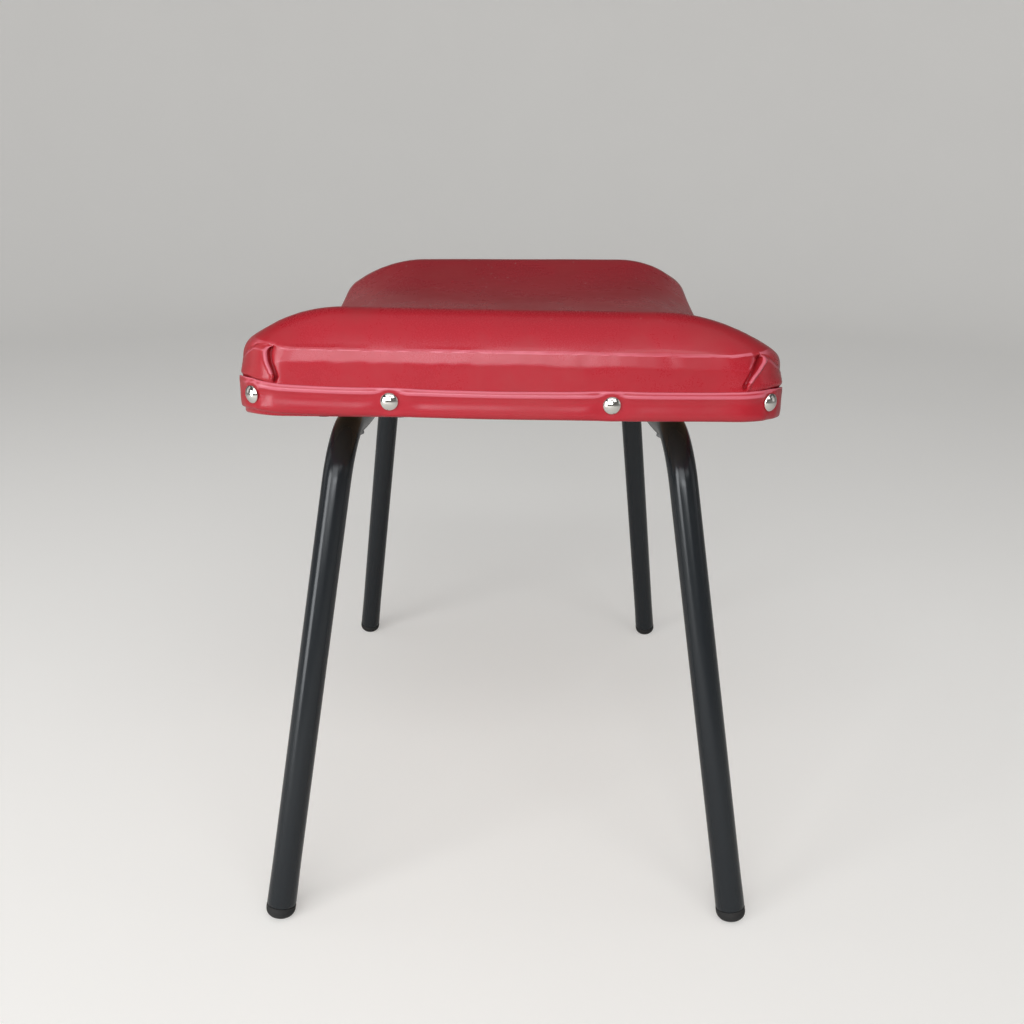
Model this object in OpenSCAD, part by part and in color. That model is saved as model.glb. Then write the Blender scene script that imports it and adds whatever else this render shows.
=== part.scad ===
// Footstool with a saddle-shaped upholstered seat on two bent tube frames.
// The origin is on the floor under the middle of the seat. X runs across the seat,
// Y along it from the near end to the far end, and Z up. Sizes are in millimetres.

/* [Seat] */
// Length of the covered seat from end to end
seat_length = 455; // [400:1:520]
// Width of the covered seat
seat_width = 337; // [290:1:380]
// Height of the seat board's upper face at the two ends
seat_end_height = 386.5; // [350:0.5:420]
// Depth of the saddle: how far the middle of the board lies below its ends
saddle_dip = 31; // [18:0.5:38]
// Radius in which the saddle levels out towards each end
end_ease_radius = 120; // [80:5:240]
// Thickness of the moulded plywood board
board_thickness = 18; // [12:0.5:22]
// Corner radius of the board in plan
board_corner_radius = 29; // [22:0.5:40]

/* [Cushion] */
// Height of the cover's upright face above the board, along the sides and ends
edge_height = 22; // [14:0.5:30]
// Height of the crowned foam above the board, away from the edges
crown_height = 46; // [38:0.5:60]
// How far in from the long sides the crown reaches its full height
side_shoulder = 72; // [45:1:90]
// How far in from the ends the crown reaches its full height
end_shoulder = 34; // [26:1:60]
// Corner radius of the cover's upper edge in plan
shoulder_corner_radius = 42; // [40:1:56]
// How far the folded cover pulls its upper edge down at the corners
corner_drop = 5; // [0:0.5:8]
// Thickness of the vinyl cover
cover_thickness = 1.2; // [0.8:0.1:2]
// How far the cover is drawn in where the edge band ties it to the board
cover_draw = 1.6; // [1:0.1:3]
// Width of the cover's hem, turned under the board
hem_width = 24; // [16:1:28]

/* [Edge band] */
// Height of the vinyl band round the seat
band_height = 20; // [17:0.5:24]
// Thickness of the band's flat part
band_thickness = 2; // [1.2:0.1:2.5]
// Radius of the rolled upper edge of the band
band_roll_radius = 1.5; // [1.4:0.1:2.2]

/* [Dome nails] */
// Diameter of a nail's dome
nail_diameter = 11; // [9:0.5:13]
// Height of a nail's dome
nail_dome_height = 3; // [2.5:0.1:4.5]
// Length of a nail's shank
nail_length = 15; // [12:0.5:19]
// Thickness of a nail's shank
nail_shank = 1.8; // [1.4:0.1:2.2]
// Distance between the band's roll and the nails' domes
nail_margin = 0.5; // [0.2:0.1:1.5]
// Distance between the two nails in the middle of each end
end_nail_spacing = 133; // [90:1:160]
// How far those two nails stand off the middle of the end
end_nail_shift = -6.5; // [-10:0.5:10]
// Number of nails between the corners on each long side
side_nail_count = 3; // [1:1:5]
// Where a corner nail sits on its corner, turned from the end's straight part
corner_nail_angle = 37; // [30:1:60]

/* [Tube frames] */
// Outer diameter of the steel tube
tube_diameter = 20; // [18:0.5:22]
// Wall of the steel tube
tube_wall = 1.5; // [1:0.1:2]
// Distance between the feet across the stool
foot_spacing_x = 326; // [290:1:360]
// Distance between the feet along the stool
foot_spacing_y = 466; // [430:1:500]
// Lean of the legs towards the middle, seen from the end
side_splay = 8; // [4:0.1:12]
// Lean of the legs towards the middle, seen from the side
end_splay = 13.9; // [9:0.1:17]
// Centreline radius of the bends at the top of the legs
bend_radius = 42; // [36:1:54]

/* [Leg plugs] */
// Height of the plug's rim below the tube's end
plug_rim_height = 9; // [7:0.5:14]
// How far the rim stands out past the tube
plug_rim_step = 0.4; // [0.2:0.1:1]
// Radius of the rim's rounded lower edge
plug_edge_radius = 6; // [4:0.5:6.5]
// Length of the plug's stem inside the tube
plug_stem_length = 26; // [18:1:36]
// Depth worn off the plug where it stands on the floor
plug_wear = 0.4; // [0.2:0.1:0.8]

/* [Fasteners] */
// Diameter of the screws that hold the frames
screw_diameter = 5; // [4:0.5:6]
// How far the screws reach into the board
screw_bite = 13; // [8:0.5:14]
// Diameter of a screw's pan head
screw_head_diameter = 10; // [9:0.5:12]
// Height of a screw's pan head
screw_head_height = 3.4; // [2.8:0.1:4]
// Distance between a frame's two screws
screw_spacing = 160; // [110:1:180]
// Diameter of a tack's head under the hem
tack_head_diameter = 7; // [5:0.5:9]
// Length of a tack's shank
tack_length = 9; // [6:0.5:9.5]
// Distance between tacks along the hem
tack_pitch = 46; // [38:1:60]

/* [Hidden] */

$fn = 96;

// Clearance between pieces that lie against each other
fit_gap = 0.3;
// Clearance round a shank or a screw in its hole
shank_gap = 0.1;
// Clearance of the plug's ribs in the tube
plug_gap = 0.1;

// Colours as seen on the stool
vinyl_red = [0.70, 0.17, 0.21];
paint_black = [0.09, 0.10, 0.12];
plastic_black = [0.06, 0.06, 0.07];
foam_cream = [0.87, 0.80, 0.62];
plywood_tan = [0.72, 0.55, 0.36];
nickel = [0.80, 0.79, 0.76];
zinc = [0.62, 0.63, 0.65];

// The saddle is an arc round an axis above the middle, which runs across the seat, and it
// meets an arc round an axis below each end that turns it level
saddle_radius =
  (pow(seat_length / 2, 2) + pow(saddle_dip, 2)) / (2 * saddle_dip) - end_ease_radius;
saddle_axis_height = seat_end_height - saddle_dip + saddle_radius;
end_axis_height = seat_end_height - end_ease_radius;
// Turn about the saddle's axis at which the arcs meet
ease_angle = asin(seat_length / 2 / (saddle_radius + end_ease_radius));

// Half sizes of the cover at its widest, and of the board inside it
half_width = seat_width / 2;
half_length = seat_length / 2;
board_inset = cover_draw + cover_thickness + fit_gap;

// Steps round the outline that the soft pieces share
side_steps = 12;
end_steps = 4;
corner_steps = 6;

// Heights of the cover's wall rings above the board
wall_ease = 3;
edge_ease = 2;
// Distances in from the edge of the cover's shoulder rings, and the shrink of the last one
shoulder_rings = [3, 12, 26, 45];
crown_ring = 0.5;
// Smallest corner radius of an inner ring
least_corner = 6;

// Height of a face that lies a depth below the board's upper one
function face_height(y, depth) =
  abs(y) < (saddle_radius + depth) * sin(ease_angle)
  ? saddle_axis_height - sqrt(pow(saddle_radius + depth, 2) - y * y)
  : end_axis_height
    + sqrt(pow(end_ease_radius - depth, 2) - pow(max(half_length - abs(y), 0), 2));

// Heights of the board's upper and lower faces
function board_top(y) = face_height(y, 0);
function board_under(y) = face_height(y, board_thickness);

// Share of the crown's rise at a distance in from an edge
function rise(distance, reach) =
  distance >= reach ? 1 : 1 - pow(1 - max(distance, 0) / reach, 2);

// Share of the corners' drop at a place: all of it at the middle of a corner's curve, and
// none where the curve ends
function corner_share(x, y) =
  4 * pow(
    max(1 - (half_width - abs(x)) / shoulder_corner_radius, 0)
    * max(1 - (half_length - abs(y)) / shoulder_corner_radius, 0),
    2
  );

// Height of the cover's upper edge above the board
function edge_rise(x, y) = edge_height - corner_drop * corner_share(x, y);

// Height of the cushion's top, for a skin that lies a depth inside the cover's face
function cushion_top(x, y, depth) =
  board_top(y) + edge_rise(x, y) - depth
  + (crown_height - edge_height)
  * rise(half_width - depth - abs(x), side_shoulder)
  * rise(half_length - depth - abs(y), end_shoulder);

// A quarter of a circle, without its last point
function corner_arc(x, y, radius, start) = [
  for (i = [0 : corner_steps - 1])
    let (angle = start + 90 * i / corner_steps)
    [x + radius * cos(angle), y + radius * sin(angle)]
];

// A straight stretch of the outline, without its last point
function straight(from, to, steps) = [
  for (i = [0 : steps - 1]) from + (to - from) * i / steps
];

// Points round a rectangle with rounded corners, counter-clockwise
function outline(half_x, half_y, radius) =
  let (x = half_x - radius, y = half_y - radius)
  concat(
    straight([half_x, -y], [half_x, y], side_steps), corner_arc(x, y, radius, 0),
    straight([x, half_y], [-x, half_y], end_steps), corner_arc(-x, y, radius, 90),
    straight([-half_x, y], [-half_x, -y], side_steps), corner_arc(-x, -y, radius, 180),
    straight([-x, -half_y], [x, -half_y], end_steps), corner_arc(x, -y, radius, 270)
  );
outline_count = 2 * side_steps + 2 * end_steps + 4 * corner_steps;

// A ring at a distance in from the cover's widest outline, a height above the board
function wall_ring(inset, height, radius) = [
  for (p = outline(half_width - inset, half_length - inset, max(radius - inset, least_corner)))
    [p.x, p.y, board_top(p.y) + height]
];

// A ring just below the cover's upper edge
function edge_ring(depth) = [
  for (p = outline(half_width - depth, half_length - depth, shoulder_corner_radius - depth))
    [p.x, p.y, board_top(p.y) + edge_rise(p.x, p.y) - edge_ease - depth]
];

// A ring on the cushion's crowned top
function top_ring(inset, shrink, depth) = [
  for (p = outline(
      (half_width - inset) * shrink, (half_length - inset) * shrink,
      max(shoulder_corner_radius - inset, least_corner)
    ))
    [p.x, p.y, cushion_top(p.x, p.y, depth)]
];

// Rings of a skin of the cushion, from the board's upper face to the crown
function cushion_rings(depth) = concat(
  [
    wall_ring(cover_draw + depth, fit_gap, board_corner_radius + board_inset),
    wall_ring(depth, wall_ease, board_corner_radius + board_inset),
    edge_ring(depth)
  ],
  [for (inset = shoulder_rings) top_ring(inset + depth, 1, depth)],
  [
    top_ring(side_shoulder + depth, 1, depth),
    top_ring(side_shoulder + depth, crown_ring, depth)
  ]
);

// Faces between rings that follow each other in a list of points
function ring_faces(first, second, flip) = [
  for (i = [0 : outline_count - 1])
    let (j = (i + 1) % outline_count)
    for (face = [[first + i, second + i, second + j], [first + i, second + j, first + j]])
      flip ? [face[2], face[1], face[0]] : face
];

// Faces from a ring to one point inside it
function fan_faces(ring, point, flip) = [
  for (i = [0 : outline_count - 1])
    let (j = (i + 1) % outline_count)
    flip ? [ring + j, point, ring + i] : [ring + i, point, ring + j]
];

// Faces of a stack of rings
function loft_faces(start, count, flip) = [
  for (k = [0 : count - 2])
    each ring_faces(start + k * outline_count, start + (k + 1) * outline_count, flip)
];

function flatten(rings) = [for (ring = rings) each ring];

// A ring of the hem under the board
function hem_ring(inset, radius, depth) = [
  for (p = outline(half_width - inset, half_length - inset, radius))
    [p.x, p.y, board_under(p.y) - fit_gap - cover_thickness + depth]
];
hem_corner_radius = board_corner_radius + board_inset - cover_draw;

// Rings of the cover's outer or inner face, from the hem's edge up over the cushion
function cover_rings(depth) = concat(
  [
    hem_ring(cover_draw + hem_width, hem_corner_radius, depth),
    hem_ring(cover_draw + depth, hem_corner_radius - depth, depth)
  ],
  cushion_rings(depth)
);

module vinyl_cover() {
  outer = cover_rings(0);
  inner = cover_rings(cover_thickness);
  ring_count = len(outer);
  skin = ring_count * outline_count + 1;
  color(vinyl_red)
    difference() {
      polyhedron(
        points = concat(
          flatten(outer), [[0, 0, cushion_top(0, 0, 0)]],
          flatten(inner), [[0, 0, cushion_top(0, 0, cover_thickness)]]
        ),
        faces = concat(
          loft_faces(0, ring_count, false),
          fan_faces((ring_count - 1) * outline_count, skin - 1, false),
          loft_faces(skin, ring_count, true),
          fan_faces(skin + (ring_count - 1) * outline_count, 2 * skin - 1, true),
          ring_faces(0, skin, true)
        )
      );
      at_band_nails() shank(nail_shank + 2 * shank_gap, nail_length);
      at_hem_tacks() shank(tack_shank + 2 * shank_gap, -tack_length);
    }
}

module foam_pad() {
  depth = cover_thickness + fit_gap;
  top = cushion_rings(depth);
  under = [
    for (shrink = [crown_ring, 1])
      [for (p = top_ring(side_shoulder + depth, shrink, depth)) [p.x, p.y, board_top(p.y) + fit_gap]]
  ];
  rings = concat(under, top);
  count = len(rings);
  color(foam_cream)
    polyhedron(
      points = concat(
        flatten(rings),
        [[0, 0, board_top(0) + fit_gap], [0, 0, cushion_top(0, 0, depth)]]
      ),
      faces = concat(
        fan_faces(0, count * outline_count, true),
        loft_faces(0, count, false),
        fan_faces((count - 1) * outline_count, count * outline_count + 1, false)
      )
    );
}

// The board's outline in plan, with true round corners
module board_plan() {
  x = half_width - board_inset;
  y = half_length - board_inset;
  square([2 * x, 2 * (y - board_corner_radius)], center = true);
  square([2 * (x - board_corner_radius), 2 * y], center = true);
  for (side = [-1, 1], end = [-1, 1])
    translate([side * (x - board_corner_radius), end * (y - board_corner_radius)])
      circle(board_corner_radius);
}

// The board's section along the stool, drawn as X and Y
module board_profile() {
  places = [for (i = [0 : board_steps]) half_length * (2 * i / board_steps - 1)];
  polygon(concat(
    [for (y = places) [y, board_top(y)]],
    [for (i = [board_steps : -1 : 0]) [places[i], board_under(places[i])]]
  ));
}
// Steps along the board's curve
board_steps = 72;

module seat_board() {
  color(plywood_tan)
    difference() {
      intersection() {
        translate([0, 0, seat_end_height - saddle_dip - 2 * board_thickness])
          linear_extrude(saddle_dip + 3 * board_thickness)
            board_plan();
        rotate([90, 0, 90])
          linear_extrude(seat_width, center = true)
            board_profile();
      }
      at_frame_screws() cylinder(h = tube_radius + fit_gap + screw_bite, d = screw_diameter);
      at_band_nails() shank(nail_shank + 2 * shank_gap, nail_length);
      at_hem_tacks() shank(tack_shank + 2 * shank_gap, -tack_length);
    }
}

// Section of the band: a flat strip with a rolled upper edge, from the inner face outwards
band_roll_steps = 7;
// Where the roll starts from the flat outer face, and where it ends on the inner one
band_roll_start = -acos(band_thickness / band_roll_radius - 1);
band_roll_end = 150;
band_section = concat(
  [[0, -band_height + 1], [0.6, -band_height], [band_thickness - 0.4, -band_height],
    [band_thickness, -band_height + 0.8]],
  [
    for (i = [0 : band_roll_steps])
      let (angle = band_roll_start + (band_roll_end - band_roll_start) * i / band_roll_steps)
      [
        band_roll_radius + band_roll_radius * cos(angle),
        -band_roll_radius + band_roll_radius * sin(angle)
      ]
  ]
);
// Distance of the band's inner face from the cover's widest outline
band_inset = cover_draw - fit_gap;

module edge_band() {
  steps = len(band_section);
  rings = [
    for (p = band_section)
      wall_ring(band_inset - p.x, p.y + band_rise, board_corner_radius + board_inset)
  ];
  color(vinyl_red)
    difference() {
      polyhedron(
        points = flatten(rings),
        faces = [
          for (k = [0 : steps - 1])
            each ring_faces(k * outline_count, ((k + 1) % steps) * outline_count, false)
        ]
      );
      at_band_nails() shank(nail_shank + 2 * shank_gap, nail_length);
    }
}
// How far the band's upper edge stands above the board
band_rise = 1;
// Height of the nails' middles above the board: they sit below the band's roll
nail_height = band_rise - 2 * band_roll_radius - nail_margin - nail_diameter / 2;

// A square shank from the origin down, or up for a negative length
module shank(thickness, length) {
  translate([0, 0, -length / 2])
    cube([thickness, thickness, abs(length)], center = true);
}

// Places its children on the band's face, with Z pointing out
module on_band(x, y, angle) {
  out = band_thickness - band_inset;
  translate([
    x + out * cos(angle), y + out * sin(angle), board_top(y + out * sin(angle)) + nail_height
  ])
    rotate([0, 90, angle])
      children();
}

module at_band_nails() {
  radius = board_corner_radius + board_inset;
  corner_x = half_width - radius;
  corner_y = half_length - radius;
  for (side = [0, 1], end = [0, 1])
    mirror([side, 0, 0])
      mirror([0, end, 0])
        on_band(
          corner_x + radius * sin(corner_nail_angle), corner_y + radius * cos(corner_nail_angle),
          90 - corner_nail_angle
        )
          children();
  for (end = [0, 1], side = [-1, 1])
    mirror([0, end, 0])
      on_band(side * end_nail_spacing / 2 + end_nail_shift, half_length, 90)
        children();
  for (side = [0, 1], i = [1 : side_nail_count])
    mirror([side, 0, 0])
      on_band(half_width, -half_length + seat_length * i / (side_nail_count + 1), 0)
        children();
}

module band_nail() {
  radius = nail_diameter / 2;
  ball = (pow(radius, 2) + pow(nail_dome_height, 2)) / (2 * nail_dome_height);
  difference() {
    intersection() {
      translate([0, 0, nail_dome_height - ball]) sphere(ball);
      cylinder(h = nail_dome_height, r = radius);
    }
    translate([0, 0, nail_dome_height - ball]) sphere(ball - nail_dome_wall);
  }
  translate([0, 0, nail_dome_height - 2 * nail_dome_wall])
    shank(nail_shank, nail_length + nail_dome_height - 2 * nail_dome_wall);
  translate([0, 0, nail_dome_height - 3 * nail_dome_wall])
    cylinder(h = 2.6 * nail_dome_wall, d = 1.6 * nail_shank);
}
// Wall of a nail's hollow dome
nail_dome_wall = 0.6;

module band_nails() {
  color(nickel) at_band_nails() band_nail();
}

// Places its children on the underside of the hem, with Z pointing up into the board. The
// hem is straight for a reach along the stool, both ways.
module under_hem(x, y, reach) {
  depth = board_thickness + fit_gap + cover_thickness;
  inner = face_height(abs(y) - reach, depth);
  outer = face_height(abs(y) + reach, depth);
  translate([x, y, (inner + outer) / 2])
    rotate([sign(y) * atan((outer - inner) / (2 * reach)), 0, 0])
      children();
}

module at_hem_tacks() {
  x = half_width - cover_draw - hem_width / 2;
  y = half_length - cover_draw - hem_width / 2;
  side_count = floor(2 * (y - board_corner_radius) / tack_pitch);
  end_count = floor(2 * (x - board_corner_radius) / tack_pitch);
  for (side = [-1, 1], i = [0 : side_count])
    under_hem(side * x, (i - side_count / 2) * tack_pitch, tack_head_diameter / 2) children();
  for (end = [-1, 1], i = [0 : end_count])
    under_hem((i - end_count / 2) * tack_pitch, end * y, hem_width / 2) children();
}
// Thickness of a tack's shank and of its head
tack_shank = 1.4;
tack_head_height = 0.8;

module hem_tacks() {
  color(zinc)
    at_hem_tacks() {
      translate([0, 0, -tack_head_height]) cylinder(h = tack_head_height, d = tack_head_diameter, $fn = 48);
      shank(tack_shank, -tack_length);
    }
}

// Each frame lies in a plane that leans by side_splay. In that plane, u is along the
// stool from its middle and v is up the slope from the floor.
tube_radius = tube_diameter / 2;
leg_lean = atan(tan(end_splay) * cos(side_splay));
leg_up = [sin(leg_lean), cos(leg_lean)];
leg_inward = [cos(leg_lean), -sin(leg_lean)];
foot_point = [-foot_spacing_y / 2, 0];

// The run under the board is an arc that keeps the tube against the board
run_radius = (saddle_radius + board_thickness + fit_gap + tube_radius) * cos(side_splay);
run_centre = [
  0,
  (saddle_axis_height - run_radius / cos(side_splay)) / cos(side_splay) + run_radius
];

// The bend touches the leg's centreline and the run's arc
bend_start = foot_point + bend_radius * leg_inward - run_centre;
bend_reach = bend_start * leg_up;
leg_length = -bend_reach
  - sqrt(pow(bend_reach, 2) - bend_start * bend_start + pow(run_radius + bend_radius, 2));
bend_centre = foot_point + bend_radius * leg_inward + leg_length * leg_up;
run_angle = asin(-bend_centre[0] / (run_radius + bend_radius));
bend_angle = 90 - leg_lean + run_angle;

// The lean of a leg as a whole, and the height at which the plug's rim meets the floor
leg_tilt = atan(sqrt(pow(tan(side_splay), 2) + pow(tan(end_splay), 2)));
plug_rim_radius = tube_radius + plug_rim_step;
plug_start = (
    plug_edge_radius + (plug_rim_radius - plug_edge_radius) * sin(leg_tilt) - plug_wear
  ) / cos(leg_tilt) - plug_edge_radius;

// Places its children in a frame's plane, drawn as X and Y
module frame_plane(side) {
  translate([side * foot_spacing_x / 2, 0, 0])
    rotate([0, -side * side_splay, 0])
      rotate([90, 0, 90])
        children();
}

// Places its children at the foot, with Z up the leg
module at_foot(side, end) {
  mirror([0, end > 0 ? 1 : 0, 0])
    frame_plane(side)
      translate([foot_point[0], foot_point[1], 0])
        rotate([-90, 0, -leg_lean])
          children();
}

// Section of the tube, whose wall is a little thicker where it is bent
module tube_section(swell) {
  difference() {
    circle(tube_radius + swell);
    circle(tube_radius - tube_wall - swell);
  }
}
// How far a bend's wall stands past the straight tube's, outside and inside
bend_swell = 0.05;
// How far the straight leg reaches into the bend
leg_lap = 0.5;
// How far half of the run is turned past the middle, before it is cut there
middle_lap = 1;

// Half of a frame's tube, round the run's centre, with X towards the start of the bend
module run_bend_and_leg() {
  rotate_extrude(angle = run_angle + middle_lap)
    translate([run_radius, 0])
      rotate(180)
        tube_section(0);
  translate([run_radius + bend_radius, 0, 0])
    rotate([0, 0, 180]) {
      rotate_extrude(angle = bend_angle)
        translate([bend_radius, 0])
          tube_section(bend_swell);
      rotate([0, 0, bend_angle])
        translate([bend_radius, -leg_lap, 0])
          rotate([-90, 0, 0])
            linear_extrude(leg_length - plug_start - plug_rim_height + leg_lap)
              tube_section(0);
    }
}

// The near half of a frame, drilled, and cut off at the middle of the stool
module half_frame(side) {
  difference() {
    intersection() {
      frame_plane(side)
        translate([run_centre[0], run_centre[1], 0])
          rotate([0, 0, 270 - run_angle])
            run_bend_and_leg();
      translate([-foot_spacing_x, -2 * foot_spacing_y, 0])
        cube([2 * foot_spacing_x, 2 * foot_spacing_y, 2 * seat_end_height]);
    }
    at_near_screw(side)
      translate([0, 0, -tube_diameter])
        cylinder(h = 2 * tube_diameter, d = screw_diameter + 2 * screw_play);
  }
}
// Play of a screw in the tube's holes
screw_play = 0.25;

module tube_frame(side) {
  color(paint_black)
    for (end = [0, 1])
      mirror([0, end, 0])
        half_frame(side);
}

module tube_frame_left() {
  tube_frame(-1);
}

module tube_frame_right() {
  tube_frame(1);
}

// Places its children on the tube's centreline at a frame's near screw, with Z pointing
// at the board
module at_near_screw(side) {
  up = run_centre[1] - run_radius * cos(asin(screw_spacing / 2 / run_radius));
  height = up * cos(side_splay);
  translate([side * (foot_spacing_x / 2 - up * sin(side_splay)), -screw_spacing / 2, height])
    rotate([-atan(screw_spacing / 2 / (saddle_axis_height - height)), 0, 0])
      children();
}

module at_frame_screws() {
  for (side = [-1, 1], end = [0, 1])
    mirror([0, end, 0])
      at_near_screw(side)
        children();
}

module frame_screw() {
  slot = [1.2, screw_head_diameter + 2, 1.5];
  shaft = tube_radius + fit_gap + screw_bite - screw_diameter / 2;
  difference() {
    translate([0, 0, -tube_radius - screw_head_height])
      intersection() {
        cylinder(h = screw_head_height, d = screw_head_diameter);
        translate([0, 0, screw_head_ball]) sphere(screw_head_ball);
      }
    translate([0, 0, -tube_radius - screw_head_height]) cube([slot.x, slot.y, 2 * slot.z], center = true);
  }
  translate([0, 0, -tube_radius - 0.5]) cylinder(h = tube_radius + 0.5 + shaft, d = screw_diameter);
  translate([0, 0, shaft]) cylinder(h = screw_diameter / 2, d1 = screw_diameter, d2 = 0);
}
// Radius of the domed face of a screw's head
screw_head_ball = 8;

module frame_screws() {
  color(zinc) at_frame_screws() frame_screw();
}

// Half of the plug's section: the rounded rim, the ribbed stem and its hollow
module plug_section() {
  stem_radius = tube_radius - tube_wall - plug_rib_height - plug_gap;
  rib_radius = tube_radius - tube_wall - plug_gap;
  square([plug_rim_radius - plug_edge_radius, plug_rim_height]);
  translate([plug_rim_radius - plug_edge_radius, plug_edge_radius])
    intersection() {
      circle(plug_edge_radius);
      translate([0, -plug_edge_radius]) square(plug_edge_radius);
    }
  translate([0, plug_edge_radius])
    square([plug_rim_radius, plug_rim_height - plug_edge_radius]);
  translate([stem_radius - plug_stem_wall, plug_rim_height])
    square([plug_stem_wall, plug_stem_length]);
  for (i = [1 : plug_rib_count])
    translate([0, plug_rim_height + plug_stem_length * i / (plug_rib_count + 1)])
      polygon([
        [stem_radius - plug_stem_wall / 2, -plug_rib_height], [stem_radius, -plug_rib_height],
        [rib_radius, 0], [stem_radius, 2 * plug_rib_height],
        [stem_radius - plug_stem_wall / 2, 2 * plug_rib_height]
      ]);
}
// Ribs and wall of the plug's stem
plug_rib_count = 3;
plug_rib_height = 0.6;
plug_stem_wall = 2;

module foot_plug(side, end) {
  color(plastic_black)
    difference() {
      at_foot(side, end)
        translate([0, 0, plug_start])
          rotate_extrude()
            plug_section();
      translate([0, 0, -tube_diameter])
        cube([2 * foot_spacing_x, 2 * foot_spacing_y, 2 * tube_diameter], center = true);
    }
}

module foot_plug_near_left() {
  foot_plug(-1, -1);
}

module foot_plug_near_right() {
  foot_plug(1, -1);
}

module foot_plug_far_left() {
  foot_plug(-1, 1);
}

module foot_plug_far_right() {
  foot_plug(1, 1);
}

seat_board();
foam_pad();
vinyl_cover();
edge_band();
band_nails();
hem_tacks();
tube_frame_left();
tube_frame_right();
frame_screws();
foot_plug_near_left();
foot_plug_near_right();
foot_plug_far_left();
foot_plug_far_right();
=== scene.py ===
"""Footstool with a saddle-shaped red vinyl seat on two bent tube frames.

Sizes are in metres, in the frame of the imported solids: the origin is on the floor under
the middle of the seat, X runs across the seat, Y along it to the far end, and Z up.
"""

import math

import bpy
import numpy as np
from bpy.props import FloatProperty, FloatVectorProperty, IntProperty, PointerProperty
from mathutils import Matrix, Vector, noise


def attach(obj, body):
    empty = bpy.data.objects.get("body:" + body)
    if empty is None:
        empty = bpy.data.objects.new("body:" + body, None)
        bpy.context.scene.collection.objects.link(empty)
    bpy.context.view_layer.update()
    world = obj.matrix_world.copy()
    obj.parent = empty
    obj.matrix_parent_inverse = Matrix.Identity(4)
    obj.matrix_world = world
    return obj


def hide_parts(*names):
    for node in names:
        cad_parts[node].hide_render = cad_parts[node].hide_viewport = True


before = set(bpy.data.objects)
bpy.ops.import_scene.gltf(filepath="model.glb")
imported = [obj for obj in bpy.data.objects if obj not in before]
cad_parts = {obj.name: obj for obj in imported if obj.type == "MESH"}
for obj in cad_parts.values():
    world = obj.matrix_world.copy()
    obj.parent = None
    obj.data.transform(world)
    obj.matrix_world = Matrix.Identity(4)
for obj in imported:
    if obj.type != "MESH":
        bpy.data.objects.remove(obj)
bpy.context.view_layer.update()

bl_info = {
    "name": "Saddle Seat Footstool",
    "version": (1, 0, 0),
    "blender": (4, 5, 0),
    "location": "View3D > Sidebar > Footstool",
    "description": "Builds an upholstered footstool with splayed tube legs, piece by piece",
    "category": "Add Mesh",
}

MM = 0.001
BODY = "root"


# Settings


def setting(kind, convert=None, **facts):
    """A function that makes settings of one kind, from defaults in a maker's units"""

    def make(name, description, default):
        default = convert(default) if convert else default
        return kind(name=name, description=description, default=default, **facts)

    return make


length = setting(FloatProperty, lambda size: size * MM, min=0, precision=4, unit="LENGTH")
angle = setting(FloatProperty, math.radians, subtype="ANGLE")
share = setting(FloatProperty, min=0, max=1, subtype="FACTOR")
colour = setting(FloatVectorProperty, min=0, max=1, subtype="COLOR")
watts = setting(FloatProperty, unit="POWER")
plain_number = setting(FloatProperty)
whole_number = setting(IntProperty, min=1)


class SeatSettings(bpy.types.PropertyGroup):
    """The board, the foam and the cover over them"""

    length: length("Length", "Length of the covered seat", 455)
    width: length("Width", "Width of the covered seat", 337)
    end_height: length("End height", "Height of the board's upper face at the two ends", 386.5)
    saddle_dip: length("Saddle dip", "How far the board's middle lies below its ends", 31)
    board_thickness: length("Board", "Thickness of the board", 18)
    board_corner: length("Board corner", "Corner radius of the cover round the board", 32.1)
    end_ease: length("End ease", "Radius to which the saddle levels out at the two ends", 120)
    edge_height: length("Edge height", "Height of the upright face above the board", 22)
    corner_drop: length("Corner drop", "How much lower the upright face is at the corners", 3.4)
    crown_height: length("Crown height", "Height of the crowned foam above the board", 46)
    side_shoulder: length("Side shoulder", "How far in the crown is full from the sides", 72)
    end_shoulder: length("End shoulder", "How far in the crown is full from the ends", 34)
    shoulder_corner: length("Shoulder corner", "Corner radius of the cover's upper edge", 42)
    cover_thickness: length("Cover", "Thickness of the vinyl", 1.2)
    cover_draw: length("Draw", "How far the cover is drawn in under the band", 1.6)
    hem_width: length("Hem", "Width of the hem under the board", 24)
    fit_gap: length("Gap", "Clearance between pieces that lie against each other", 0.3)
    face_tilt: angle("Face tilt", "Lean of the end face's upper part", 11)
    tilt_height: length("Tilt height", "Height of the end face's leaning part", 7.7)
    end_edge: length("End edge", "Size of the rounding on the ends' upper edges", 1.1)
    side_edge: length("Side edge", "Size of the rounding on the sides' upper edges", 8)
    pleat: share("Pleats", "Strength of the corner pleats", 1)
    twist: length("Twist", "How far one corner is pulled up and the next one down", 1.6)
    drift: length("Drift", "How far the cushion leans to the right at the far end", 6)
    sag: length("Sag", "How far the upright face's edge has settled below its full height", 1.8)
    slump: share("Slump", "How much fuller the shoulder is at one corner than at the next", 0.12)


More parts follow.
